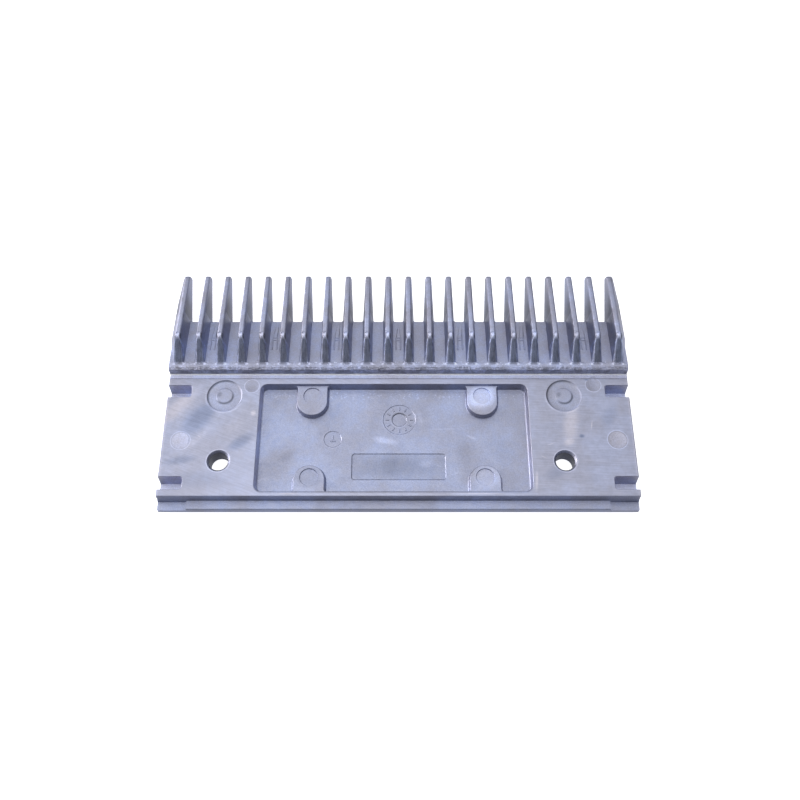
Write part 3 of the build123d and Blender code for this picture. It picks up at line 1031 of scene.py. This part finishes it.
for skin, name, count, spacing_mm, operation in (
    (stamp, "web_stamps", (TEETH - 3) // STAMP_STEP + 1, STAMP_STEP * PITCH, "UNION"),
    (dimple, "apex_dimples", TEETH, PITCH, "DIFFERENCE"),
):
    piece = cutter_from(skin, name + "_one")
    repeated = run_tree(name, row_tree, {
        "Piece": piece,
        "Count": count,
        "Spacing": spacing_mm * MM,
        "Weld": 0.0,
        "Material": cast_metal,
    })
    bpy.data.objects.remove(piece)
    carve(casting, repeated, operation)

# %% Bars round the date dial
DIAL_BARS, BAR_HEIGHT = 12, 0.2
ring_tree, given = new_tree("repeat round a circle", [
    ("Piece", "Object"),
    ("Count", "Int"),
    ("Radius", "Float"),
    ("Centre", "Vector"),
    ("Material", "Material"),
])
feeds = {"Vertices": given["Count"], "Radius": given["Radius"]}
circle = add_node(ring_tree, "GeometryNodeMeshCircle", feeds)
step = add_node(ring_tree, "ShaderNodeMath", {0: 2 * math.pi, 1: given["Count"]}, operation="DIVIDE")
index = add_node(ring_tree, "GeometryNodeInputIndex")
angle = add_node(ring_tree, "ShaderNodeMath", {0: index, 1: step}, operation="MULTIPLY")
spin = add_node(ring_tree, "ShaderNodeCombineXYZ", {"Z": angle})
shifted = add_node(ring_tree, "GeometryNodeTransform", {
    "Geometry": real_copies(ring_tree, given, circle, spin),
    "Translation": given["Centre"],
})
give_back(ring_tree, given, shifted)

bar = Skin()
raised_bar(bar, -0.75, 0.75, -0.24, 0.24, 0, BAR_HEIGHT)
bar.points = [(x, y - REAR_Y, z) for x, y, z in bar.points]
piece = cutter_from(bar, "dial_bar")
carve(casting, run_tree("dial_bars", ring_tree, {
    "Piece": piece,
    "Count": DIAL_BARS,
    "Radius": (DIAL_RADIUS + HUB_RADIUS) / 2 * MM,
    "Centre": to_frame(DIAL_X, DIAL_Y, POCKET_FLOOR - DISC_DEPTH),
    "Material": cast_metal,
}), "UNION")
bpy.data.objects.remove(piece)
small_bars = Skin()
for x0, x1, y0, y1 in ((-1.2, 1.2, -1.1, -0.6), (-0.3, 0.3, -0.2, 1.8)):
    raised_bar(
        small_bars, SMALL_MARK_X + x0, SMALL_MARK_X + x1, SMALL_MARK_Y + y0, SMALL_MARK_Y + y1,
        POCKET_FLOOR - DISC_DEPTH, BAR_HEIGHT)
carve(casting, cutter_from(small_bars, "small_bars"), "UNION")

# %% [markdown]
# ## Smooth shading with crisp corners
#
# The mesh is one closed casting now. Corners sharper than 32 degrees stay crisp, everything else is
# shaded smoothly, and weighted normals let the big flat faces win over the small rounded ones.

# %% Shading normals
SHARP_ANGLE = math.radians(32)
bpy.data.objects.remove(slice_object)
casting.data.shade_smooth()
casting.data.set_sharp_from_angle(angle=SHARP_ANGLE)
weights = casting.modifiers.new("weights", "WEIGHTED_NORMAL")
weights.keep_sharp = True
weights.weight = 80
finished = plain_mesh(casting)
casting.modifiers.clear()
casting.data = finished
casting.name = "comb_plate_casting"
finished.name = casting.name

seat_faces = 0
finished.materials.clear()
finished.materials.append(cast_metal)
finished.materials.append(milled_metal)
for face in finished.polygons:
    milled = face.normal.z > 0.9995 and abs(face.center.z - SEAT_Z * MM) < 0.01 * MM
    face.material_index = int(milled)
    seat_faces += milled
print("milled faces", seat_faces)

# %% [markdown]
# ## Metal finishes
#
# Both finishes are bare aluminium. We describe them with noise on Object coordinates, so nothing
# depends on UV maps. A small recipe class keeps the node code readable: each call adds one node and
# returns its output. Its `place` is the point in helper millimetres, so marks can be put where the
# real ones are. A finish is a brightness, worked out step by step, times a slightly blue tint.

# %% A recipe of nodes
NEUTRAL, BLUE = (0.98, 0.95, 1.06, 1), (0.8, 0.89, 1.2, 1)


class Recipe:
    """Adds nodes to a material, one call each, and returns the socket that comes out."""

    def __init__(self, material):
        material.use_nodes = True
        self.tree = material.node_tree
        self.tree.nodes.clear()
        self.place = self.add("TexCoord", out="Object")
        self.place = self.moved(to_frame(0, 0, 0), 0, (MM, MM, MM))
        self.x, self.y, self.z = self.parts(self.place)

    def add(self, kind, feeds=None, out=0, **settings):
        return add_node(self.tree, "ShaderNode" + kind, feeds, out, **settings)

    def parts(self, vector):
        return self.add("SeparateXYZ", {0: vector}, None)

    def math(self, operation, a, b=0.0, c=0.0):
        return self.add("Math", {0: a, 1: b, 2: c}, operation=operation)

    def total(self, *values):
        result = values[0]
        for value in values[1:]:
            result = self.math("ADD", result, value)
        return result

    def product(self, *values):
        result = values[0]
        for value in values[1:]:
            result = self.math("MULTIPLY", result, value)
        return result

    def vector(self, operation, a, b=(0, 0, 0)):
        out = "Value" if operation in ("LENGTH", "DOT_PRODUCT") else "Vector"
        return self.add("VectorMath", {0: a, 1: b}, out, operation=operation)

    def moved(self, at, turn_degrees=0.0, stretch=(1, 1, 1)):
        """The place seen from another spot, turned, and stretched along the new axes."""
        return self.add("Mapping", {
            "Vector": self.place,
            "Location": at,
            "Rotation": (0, 0, math.radians(turn_degrees)),
            "Scale": stretch,
        }, vector_type="TEXTURE")

    def noise(self, size, detail=2.0, rough=0.5, vector=None):
        """Noise from about 0.3 to 0.7, with lumps of the given size in mm."""
        return self.add("TexNoise", {
            "Vector": vector or self.place,
            "Scale": 1 / size,
            "Detail": detail,
            "Roughness": rough,
        }, "Fac")

    def remap(self, value, low, high, to_low=0.0, to_high=1.0):
        """Turns low to high into to_low to to_high, smoothly, and stays there outside."""
        return self.add("MapRange", {
            "Value": value,
            "From Min": low,
            "From Max": high,
            "To Min": to_low,
            "To Max": to_high,
        }, interpolation_type="SMOOTHSTEP")


print("metal tints run from", NEUTRAL[:3], "to", BLUE[:3])

# %% [markdown]
# `Finish` adds what marks on metal look like: soft bands, ellipses, round lines and parts of them.
# It ends with the shader.

# %% Marks and the metal shader


class Finish(Recipe):
    """A recipe that knows marks, and ends in bare metal."""

    def spread(self, value, amount):
        """Noise as a factor round 1, amount up and down."""
        return self.remap(value, 0.3, 0.7, 1 - amount, 1 + amount)

    def band(self, value, low, high, soft=0.3):
        """1 between low and high, 0 outside."""
        return self.product(
            self.remap(value, low - soft, low + soft),
            self.remap(value, high - soft, high + soft, 1, 0))

    def patch(self, x, y, half_length, half_width, turn_degrees=0.0, power=1.0):
        """A soft ellipse on the plate, power in its middle and 0 outside."""
        seen = self.moved((x, y, 0), turn_degrees, (half_length, half_width, 1))
        flat = self.vector("MULTIPLY", seen, (1, 1, 0))
        return self.remap(self.vector("LENGTH", flat), 0.2, 1.0, power, 0.0)

    def patches(self, rows):
        return self.total(*[self.patch(*row) for row in rows])

    def ring(self, x, y, radius, width, power=1.0):
        """A soft round line on the plate."""
        flat = self.vector("MULTIPLY", self.moved((x, y, 0)), (1, 1, 0))
        off = self.math("ABSOLUTE", self.math("SUBTRACT", self.vector("LENGTH", flat), radius))
        return self.remap(off, 0, width, power, 0)

    def arc(self, x, y, radius, width, towards, power):
        """The part of such a round line that lies towards an angle in degrees."""
        seen = self.parts(self.moved((x, y, 0), towards))
        share = self.remap(seen[0], -0.2 * radius, 0.7 * radius)
        return self.product(self.ring(x, y, radius, width, power), share)

    def bump(self, height, depth, normal=None):
        feeds = {"Distance": depth * MM, "Height": height}
        if normal:
            feeds["Normal"] = normal
        return self.add("Bump", feeds)

    def metal(self, level, blue, roughness, normal):
        """The shader: brightness times a tint that runs from neutral to blue."""
        tint = self.add("Mix", {"Factor": blue, "A": NEUTRAL, "B": BLUE}, "Result", data_type="RGBA")
        shader = self.add("BsdfPrincipled", {
            "Metallic": 1.0,
            "Base Color": self.vector("MULTIPLY", tint, level),
            "Roughness": roughness,
            "Normal": normal,
        })
        self.add("OutputMaterial", {"Surface": shader}, None)
        print("finish done with", len(self.tree.nodes), "nodes")


# %% [markdown]
# ### The as-cast skin
#
# A cast face is cloudy and slightly pebbled. Its tone follows the part: the tops of the teeth carry a
# painted highlight, brightest at the apex; their steep rear faces carry a streaked painted shade; the
# riser behind them is coarse, with mottled painted light on it; bright specks sit along its upper edge.
# The pocket's floor has a few long scratches and one pale streak.

# %% Noises and places on the casting
skin = Finish(cast_metal)
clouds = skin.noise(20, 3, 0.55)
mottle = skin.noise(3.0, 4, 0.6)
grain = skin.noise(0.45, 3, 0.7)
streaks = skin.noise(0.5, 2, 0.6, skin.moved((0, 0, 0), 0, (1, 7, 7)))

keel_line = skin.vector("DOT_PRODUCT", skin.place, (0, KEEL_FALL, 1))
above_keel = skin.math("ADD", keel_line, -APEX_Z - APEX_Y * KEEL_FALL)
WEB_SLOPE = (WEB_REAR_Z - WEB_FRONT_Z) / (WEB_FRONT_Y - RISER_TOP_Y)
web_line = skin.vector("DOT_PRODUCT", skin.place, (0, WEB_SLOPE, 1))
above_web = skin.math("ADD", web_line, -WEB_REAR_Z - RISER_TOP_Y * WEB_SLOPE)
in_pitch = skin.math("FRACT", skin.math("MULTIPLY", skin.x, 1 / PITCH))
from_tooth = skin.product(skin.math("ABSOLUTE", skin.math("SUBTRACT", in_pitch, 0.5)), PITCH)
print("the keel falls", round(KEEL_FALL, 3), "and the web", round(WEB_SLOPE, 3), "mm per mm")

# %% [markdown]
# The teeth come first. `from_tooth` is the distance from the nearest tooth's middle, so one mask works
# on all 22. Painted highlights run down like small arms from each apex, and painted flecks of light sit
# where a tooth's foot meets the crest of the riser.

# %% Tones of the teeth and the riser
ARM_SLOPE, ARM_Y, ARM_X = 0.4, 73.2, 0.45
# Painted highlights: keel brightens the tops of the teeth towards the apex, and the mask after at_apex
# paints a brighter spot on the middle of each apex, darker at its sides.
keel = skin.product(skin.remap(above_keel, -0.7, -0.25), skin.remap(skin.y, 112, 74, 0.0, 0.2))
at_apex = skin.product(skin.band(skin.y, 72.2, 74.8, 0.4), skin.remap(skin.z, 20.6, 21.2))
apex_highlight = skin.product(at_apex, skin.remap(from_tooth, 0.35, 0.8, 0.3, -0.45))
flank_shade = skin.product(
    skin.remap(above_keel, -0.7, -1.4), skin.remap(skin.y, 86.8, 87.6),
    skin.remap(skin.y, 90, 105, -0.4, 0))
# Painted shade: the teeth's steep rear faces are darkened, with streaks, and made bluer in the mix below.
# Their side edges get a painted highlight.
rear = skin.product(skin.remap(above_web, 0.2, 0.9), skin.band(skin.y, 60, 72.2, 0.4))
rear_face_edge_highlight = skin.product(rear, skin.remap(from_tooth, 0.95, 1.35, -0.08, 0.5))
# Painted highlights that run down like small arms from each apex.
off_arm = skin.math("ABSOLUTE", skin.total(
    from_tooth, skin.math("MULTIPLY_ADD", skin.y, ARM_SLOPE, -ARM_X - ARM_Y * ARM_SLOPE)))
apex_arm_highlights = skin.product(
    skin.remap(off_arm, 0.1, 0.35, 1, 0), skin.band(skin.y, 70.9, 73.2, 0.3),
    skin.remap(skin.z, 18.8, 19.6), 0.7)
# Painted highlights: flecks at the two corners of each tooth's foot.
foot_corner_highlights = skin.product(
    skin.band(from_tooth, 1.6, 2.5, 0.25), skin.band(skin.y, 63.1, 63.9, 0.25),
    skin.remap(skin.z, 15.4, 15.0), 0.6)
foot = skin.product(skin.band(skin.y, 63.0, 64.9, 0.3), skin.remap(skin.noise(0.8, 1), 0.62, 0.72))
# Painted light: the web floor between the teeth is made brighter.
web = skin.product(skin.band(above_web, -0.4, 0.25, 0.1), skin.band(skin.y, 62, 87.6, 0.4), 0.16)
# Painted light: the riser is made brighter in mottled patches in the mix below, and also gets a coarse
# bump and more roughness.
riser = skin.product(skin.band(skin.y, 60.6, 62.6, 0.5), skin.remap(skin.z, 10.6, 11.2))
strip = skin.product(skin.band(skin.y, 58.6, 60.95, 0.1), skin.remap(skin.z, 11.0, 10.6), 0.5)
# Painted highlight: a bright line along the foot of the riser.
line = skin.product(skin.band(skin.y, 60.2, 61.0, 0.12), skin.remap(skin.z, 11.2, 10.7), 0.8)
print("the teeth and the riser take", len(skin.tree.nodes), "nodes")

# %% [markdown]
# Then the hollows. Their walls and floors get painted light, the screw holes get painted shade inside,
# and each witness mark gets painted shade on one side and a painted highlight on the other.

# %% Tones of the hollows
# Painted light: the floors and upper walls of the notches are brightened and made less blue.
notch_painted_light = skin.product(
    skin.remap(skin.math("ABSOLUTE", skin.x), 88.4, 89.0), skin.remap(skin.z, 9.9, 9.7),
    skin.band(skin.y, 6, 57),
    skin.total(skin.remap(skin.z, 4.0, 3.7, 0.16, 0.36), skin.remap(skin.z, 7.0, 9.5, 0.0, 0.2)))
# Painted shade: the walls inside the screw holes are darkened.
holes = skin.total(*[
    skin.product(skin.ring(x, screw_y, 3.6, 2.4), skin.remap(skin.z, 9.3, 8.9), -0.8)
    for x in SCREW_XS])
# Painted light: the pocket's left wall is brightened strongly and its right wall a little.
left_wall = skin.band(skin.x, -60.0, -58.6, 0.15)
right_wall = skin.product(skin.band(skin.x, 54.7, 56.1, 0.15), 0.3)
pocket_wall_light = skin.product(
    skin.total(left_wall, right_wall), skin.band(skin.y, 7.5, 55, 0.5),
    skin.band(skin.z, 6.1, 9.9, 0.2), 0.55)
# Painted shade and highlights on the two ringed marks: dark arcs on the outer wall's upper left and the
# hub's lower right, a dark patch in the hub, and a bright arc on the lower right.
in_rings = skin.band(skin.z, 9.2, 9.99, 0.02)
ring_mark_shade_and_highlights = skin.product(in_rings, skin.total(*[part for x, y in RING_MARKS for part in (
    skin.arc(x, y, 7.35, 1.0, 135, -0.6),
    skin.arc(x, y, 3.6, 0.8, 300, -0.55),
    skin.patch(x - 2.2, y + 0.6, 2.0, 1.5, 60, -0.3),
    skin.arc(x, y, 7.5, 0.6, 315, 0.3),
)]))
tops = skin.product(skin.remap(skin.z, 8.0, 8.5), skin.patches([
    (35.6, 50.2, 9.0, 7.0, 30, 0.95),
    (37.5, 13.0, 8.0, 6.5, 0, 0.34),
    (-37.2, 13.2, 7.5, 6.5, 0, -0.32),
]))
print("with the hollows", len(skin.tree.nodes), "nodes")

# %% [markdown]
# The pocket's floor is the widest cast face, so its marks are laid out one by one: each row below is a
# soft ellipse with its middle, its half length and half width, its turn in degrees and its strength.

# %% Marks on the pocket's floor
floor = skin.remap(skin.z, 6.9, 6.1)
# Painted shade and highlights on the mould marks: the recessed label field and a patch beside it are
# darker, the hub's far side gets painted shade, and the hub's near side and the left rims of the dial and
# the small mark get painted highlights.
mould_mark_shade_and_highlights = skin.total(
    skin.product(skin.band(skin.x, *LABEL_X), skin.band(skin.y, *LABEL_Y), -0.1),
    skin.patch(-3.0, 19.5, 6.5, 5.0, 100, -0.08),
    skin.arc(DIAL_X, DIAL_Y, HUB_RADIUS, 0.6, 95, -0.4),
    skin.arc(DIAL_X, DIAL_Y, HUB_RADIUS + 0.3, 0.5, 265, 0.2),
    skin.arc(DIAL_X, DIAL_Y, DIAL_RADIUS, 0.5, 200, 0.16),
    skin.arc(SMALL_MARK_X, SMALL_MARK_Y, SMALL_MARK_RADIUS, 0.5, 240, 0.2),
)
floor_marks = skin.patches([
    (-5.6, 31.0, 7.4, 2.1, -12, 0.3),
    (-12.0, 46.0, 9.0, 5.0, 60, 0.07),
    (12.0, 20.5, 5.0, 2.6, 10, 0.16),
    (-30.0, 41.0, 10.0, 6.0, 70, -0.06),
    (28.0, 26.0, 5.0, 9.0, 15, -0.08),
    (19.3, 36.4, 10.0, 0.3, 1, 0.2),
    (31.0, 32.6, 3.4, 0.7, -25, 0.25),
    (16.3, 19.7, 2.8, 0.28, -20, 0.22),
    (23.3, 15.6, 2.4, 0.28, 15, 0.2),
    (-47.0, 24.0, 7.0, 3.0, 30, -0.1),
    (9.5, 41.5, 1.2, 5.0, 12, 0.14),
    (0.2, 19.0, 23.0, 7.0, 0, -0.16),
    (44.0, 27.0, 7.0, 9.0, 20, -0.08),
])
sparkle = skin.product(
    skin.band(skin.y, 50.6, 54.0, 0.8), skin.remap(skin.noise(0.9, 2), 0.58, 0.7), 0.3)
print("with the floor's marks", len(skin.tree.nodes), "nodes")

# %% [markdown]
# Last, the tones are mixed. Marks on the same kind of face add up, and each group multiplies the base
# brightness, so a mark keeps its strength on bright and on dark skin alike. Pebbles and the coarse
# riser are bumps, far too small to be modelled.

# %% Mix the cast skin
level = skin.product(
    0.5, skin.spread(clouds, 0.12), skin.spread(mottle, 0.08), skin.spread(grain, 0.12),
    skin.total(
        1.0, keel, apex_highlight, skin.product(foot, 0.7), strip, line, web, pocket_wall_light, tops,
        foot_corner_highlights, apex_arm_highlights, rear_face_edge_highlight, flank_shade),
    skin.total(1.0, notch_painted_light, holes, ring_mark_shade_and_highlights),
    # Painted shade on the rear faces, streaked.
    skin.total(1.0, skin.product(rear, skin.remap(streaks, 0.3, 0.7, -0.4, -0.12))),
    # Painted light on the riser, mottled.
    skin.total(1.0, skin.product(riser, skin.remap(mottle, 0.35, 0.65, -0.08, 0.36))),
    skin.total(1.0, skin.product(floor, skin.total(floor_marks, sparkle, mould_mark_shade_and_highlights))),
)
blue = skin.total(
    0.55, skin.product(floor, 0.15), skin.product(tops, 0.4), skin.product(notch_painted_light, -0.6),
    skin.product(rear, 0.3), skin.remap(clouds, 0.35, 0.65, -0.2, 0.2),
    skin.remap(mottle, 0.35, 0.65, -0.08, 0.08))
rough = skin.total(
    skin.remap(mottle, 0.3, 0.7, 0.42, 0.56),
    skin.product(keel, -0.25), skin.product(foot, -0.12), skin.product(riser, 0.1))
pebble = skin.bump(skin.noise(0.8, 4, 0.65), 0.06)
coarse = skin.bump(skin.product(riser, skin.noise(1.3, 3, 0.7)), 0.9, pebble)
skin.metal(level, blue, rough, coarse)

# %% [markdown]
# ### The milled seats
#
# The cutter left fine lines: slanting on the left seat, nearly level on the right one. Years of oil
# and rubbing added cloudy blue and pale patches and a few scratches. Pale painted highlights run along
# the seats' side edges and along the pocket's rear and right rims, and painted bright rings sit round
# the marks and holes in the seats.

# %% Milled seats
mill = Finish(milled_metal)
left_lines = mill.noise(0.34, 3, 0.6, mill.moved((0, 0, 0), -20, (26, 1, 1)))
right_lines = mill.noise(0.34, 3, 0.6, mill.moved((0, 0, 0), -3, (26, 1, 1)))
lines = mill.total(
    mill.product(left_lines, mill.remap(mill.x, -1, 1, 1, 0)),
    mill.product(right_lines, mill.remap(mill.x, -1, 1)))
clouds = mill.noise(14, 4, 0.6)
mottle = mill.noise(2.2, 4, 0.65)
# Pale marks and painted highlights: the band at the plate's sides and the rows at y 5.6 and 11.0 paint
# highlights along the seat edges and the pocket's rims; the other rows are pale patches and scratches.
pale_marks_and_edge_highlights = mill.total(mill.remap(mill.math("ABSOLUTE", mill.x), 98.2, 99.4, 0, 0.16), mill.patches([
    (-94.0, 45.5, 15.0, 5.0, 51, 0.24),
    (-85.5, 29.5, 11.0, 2.2, 45, 0.1),
    (-70.0, 36.0, 7.0, 4.0, 40, 0.05),
    (73.4, 37.0, 14.0, 4.6, 82, 0.26),
    (71.9, 28.5, 3.4, 2.2, 20, 0.2),
    (82.2, 36.5, 3.0, 0.35, 80, 0.28),
    (57.2, 11.0, 6.0, 0.9, 85, 0.3),
    (-45.3, 5.6, 6.0, 0.7, 0, 0.22),
    (33.1, 5.6, 13.0, 0.7, 0, 0.24),
    (-83.8, 30.8, 1.9, 0.25, -35, 0.2),
    (64.2, 27.6, 2.4, 0.28, 20, 0.24),
    (60.9, 21.7, 2.0, 0.28, -25, 0.24),
    (-62.0, 42.1, 1.6, 2.0, 0, 0.3),
]))
dull = mill.patches([
    (-84.8, 40.0, 13.5, 6.4, 48, 0.19),
    (-66.5, 28.6, 8.5, 3.6, 35, 0.15),
    (-91.0, 20.3, 9.0, 2.6, 10, 0.12),
    (77.6, 31.3, 1.6, 1.2, 0, 0.25),
    (83.4, 58.0, 3.6, 0.8, -8, 0.3),
    (90.0, 40.0, 8.0, 4.0, 60, 0.07),
    (66.0, 15.0, 8.0, 4.0, 30, 0.08),
    (-84.0, 11.5, 20.0, 5.0, 0, 0.06),
])
# Painted highlights: bright rings round the pin marks, the ringed marks and the screw holes in the seats.
rings = mill.total(
    *[mill.ring(x, y, radius + 0.15, 0.45, 0.3) for x, y, radius in SEAT_PINS],
    *[mill.arc(x, y, 8.1, 0.7, 250, 0.25) for x, y in RING_MARKS],
    *[mill.ring(x, screw_y, 5.0, 0.5, 0.3) for x in SCREW_XS],
)
level = mill.product(
    0.48, mill.spread(clouds, 0.08), mill.spread(mottle, 0.07), mill.spread(lines, 0.08),
    mill.total(1.0, pale_marks_and_edge_highlights, rings), mill.total(1.0, mill.product(dull, -1.25)),
)
blue = mill.total(
    0.5, mill.product(dull, 3.0), mill.product(pale_marks_and_edge_highlights, -1.5),
    mill.remap(clouds, 0.35, 0.65, -0.15, 0.15))
rough = mill.total(0.38, mill.product(dull, 0.4), mill.remap(mottle, 0.3, 0.7, -0.04, 0.06))
mill.metal(level, blue, rough, mill.bump(lines, 0.012, mill.bump(mottle, 0.02)))

# %% [markdown]
# ## The set: a pale sweep, two soft lamps and the camera
#
# The plate lies in an even white sweep. One lamp hangs almost overhead, a little behind the teeth, and
# the other stands low on the left: tops are bright, faces that look towards us are dark, and edges
# that look left shine. The sweep glows by itself, so that it stays white in every view.

# %% White sweep
SWEEP_RADIUS, SWEEP_WALL, SWEEP_BEND, SWEEP_SIDES, BEND_STEPS = 2.5, 2.0, 1.0, 96, 12
bends = [math.pi / 2 * k / BEND_STEPS for k in range(BEND_STEPS + 1)]
profile = [(SWEEP_RADIUS - SWEEP_BEND + SWEEP_BEND * math.sin(a), SWEEP_BEND - SWEEP_BEND * math.cos(a))
           for a in bends]
profile.append((SWEEP_RADIUS, SWEEP_WALL))
angles = [2 * math.pi * k / SWEEP_SIDES for k in range(SWEEP_SIDES)]
sweep = bmesh.new()
rings = [[sweep.verts.new((radius * math.cos(t), radius * math.sin(t), height)) for t in angles]
         for radius, height in profile]
for low_ring, high_ring in zip(rings, rings[1:]):
    for k in range(SWEEP_SIDES):
        j = (k + 1) % SWEEP_SIDES
        sweep.faces.new((low_ring[j], low_ring[k], high_ring[k], high_ring[j]))
sweep.faces.new(rings[0])
sweep_mesh = bpy.data.meshes.new("white_sweep")
sweep.to_mesh(sweep_mesh)
sweep.free()
sweep_mesh.shade_smooth()
white_sweep = new_object("white_sweep", sweep_mesh)
paper = bpy.data.materials.new("white_paper")
paper.use_nodes = True
paper_shader = paper.node_tree.nodes["Principled BSDF"]
paper_shader.inputs["Base Color"].default_value = (0.9, 0.9, 0.9, 1)
paper_shader.inputs["Roughness"].default_value = 1.0
paper_shader.inputs["Specular IOR Level"].default_value = 0.0
paper_shader.inputs["Emission Color"].default_value = (1, 1, 1, 1)
paper_shader.inputs["Emission Strength"].default_value = 0.9
sweep_mesh.materials.append(paper)
white_sweep.visible_glossy = False
white_sweep.visible_diffuse = False
white_sweep.visible_shadow = False
print("the sweep is", 2 * SWEEP_RADIUS, "m across")

# %% Lamps


def lamp(name, place, aim, size, power, colour):
    """A rectangular area lamp at place, in metres, that looks at aim."""
    light = bpy.data.lights.new(name, "AREA")
    light.shape = "RECTANGLE"
    light.size, light.size_y = size
    light.energy = power
    light.color = colour
    made = new_object(name, light)
    made.location = place
    made.rotation_euler = (Vector(aim) - Vector(place)).to_track_quat("-Z", "Y").to_euler()
    made.visible_camera = False
    print(name, "lamp with", power, "W")


PLATE_MIDDLE = (0, 0, 0.01)
lamp("overhead", (-0.12, 0.2, 1.3), PLATE_MIDDLE, (0.6, 0.6), 1.4, (0.96, 0.97, 1.0))
lamp("left_low", (-1.2, 0.3, 0.34), PLATE_MIDDLE, (0.8, 0.5), 10.5, (1.0, 0.95, 0.95))

# %% [markdown]
# The world around the plate does most of the work, because metal shows what it mirrors. It is brightest
# nearly overhead, dark along the horizon, and bright again below it, where the pale table lies. The
# table is brighter behind the teeth than in front of the plate.

# %% World
SKY_BRIGHTEST = (-0.12, 0.27, 0.95)
SKY_DARK, SKY_BRIGHT = (0.075, 0.08, 0.105, 1), (0.86, 0.88, 0.95, 1)
TABLE_NEAR, TABLE_FAR = (0.5, 0.51, 0.56, 1), (0.8, 0.81, 0.86, 1)
sky = bpy.data.worlds.new("studio")
sky.use_nodes = True
sky_tree = sky.node_tree
way = add_node(sky_tree, "ShaderNodeTexCoord", out="Generated")


def sky_share(direction, low, high):
    """0 to 1, smoothly, as the way we look turns towards the given direction."""
    aim = Vector(direction).normalized()
    dot = add_node(sky_tree, "ShaderNodeVectorMath", {0: way, 1: aim}, "Value", operation="DOT_PRODUCT")
    feeds = {"Value": dot, "From Min": low, "From Max": high}
    return add_node(sky_tree, "ShaderNodeMapRange", feeds, interpolation_type="SMOOTHSTEP")


def sky_mix(factor, a, b):
    """From colour a to colour b as factor goes from 0 to 1."""
    feeds = {"Factor": factor, "A": a, "B": b}
    return add_node(sky_tree, "ShaderNodeMix", feeds, "Result", data_type="RGBA")


dome = sky_mix(sky_share(SKY_BRIGHTEST, 0.15, 1.0), SKY_DARK, SKY_BRIGHT)
table = sky_mix(sky_share((0, 1, 0), -0.5, 0.45), TABLE_NEAR, TABLE_FAR)
around = sky_mix(sky_share((0, 0, -1), -0.02, 0.12), dome, table)
sky_tree.links.new(around, sky_tree.nodes["Background"].inputs["Color"])
bpy.context.scene.world = sky
bpy.context.scene.view_settings.view_transform = "Standard"
bpy.context.scene.view_settings.look = "None"
print("the sky has", len(sky_tree.nodes), "nodes")

# %% [markdown]
# The camera stands where the photograph was taken from. Its place and tilt were worked out from the
# plate's outline and the known pitch of the teeth.

# %% Camera
CAMERA_PLACE, CAMERA_TILT = (0.7, -134.29, 374.62), 63.4
FOCAL_PIXELS, IMAGE_PIXELS, SENSOR = 947.2, 800, 36.0
lens = bpy.data.cameras.new("camera")
lens.sensor_width = SENSOR
lens.lens = FOCAL_PIXELS / IMAGE_PIXELS * SENSOR
lens.clip_start, lens.clip_end = 0.01, 20
camera = new_object("camera", lens)
camera.location = to_frame(*CAMERA_PLACE)
camera.rotation_euler = (math.radians(90 - CAMERA_TILT), 0, 0)
bpy.context.scene.camera = camera
print("lens", round(lens.lens, 2), "mm")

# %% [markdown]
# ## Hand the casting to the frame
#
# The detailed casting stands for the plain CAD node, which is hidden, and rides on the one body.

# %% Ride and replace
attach(casting, "root")
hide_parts(NODE)
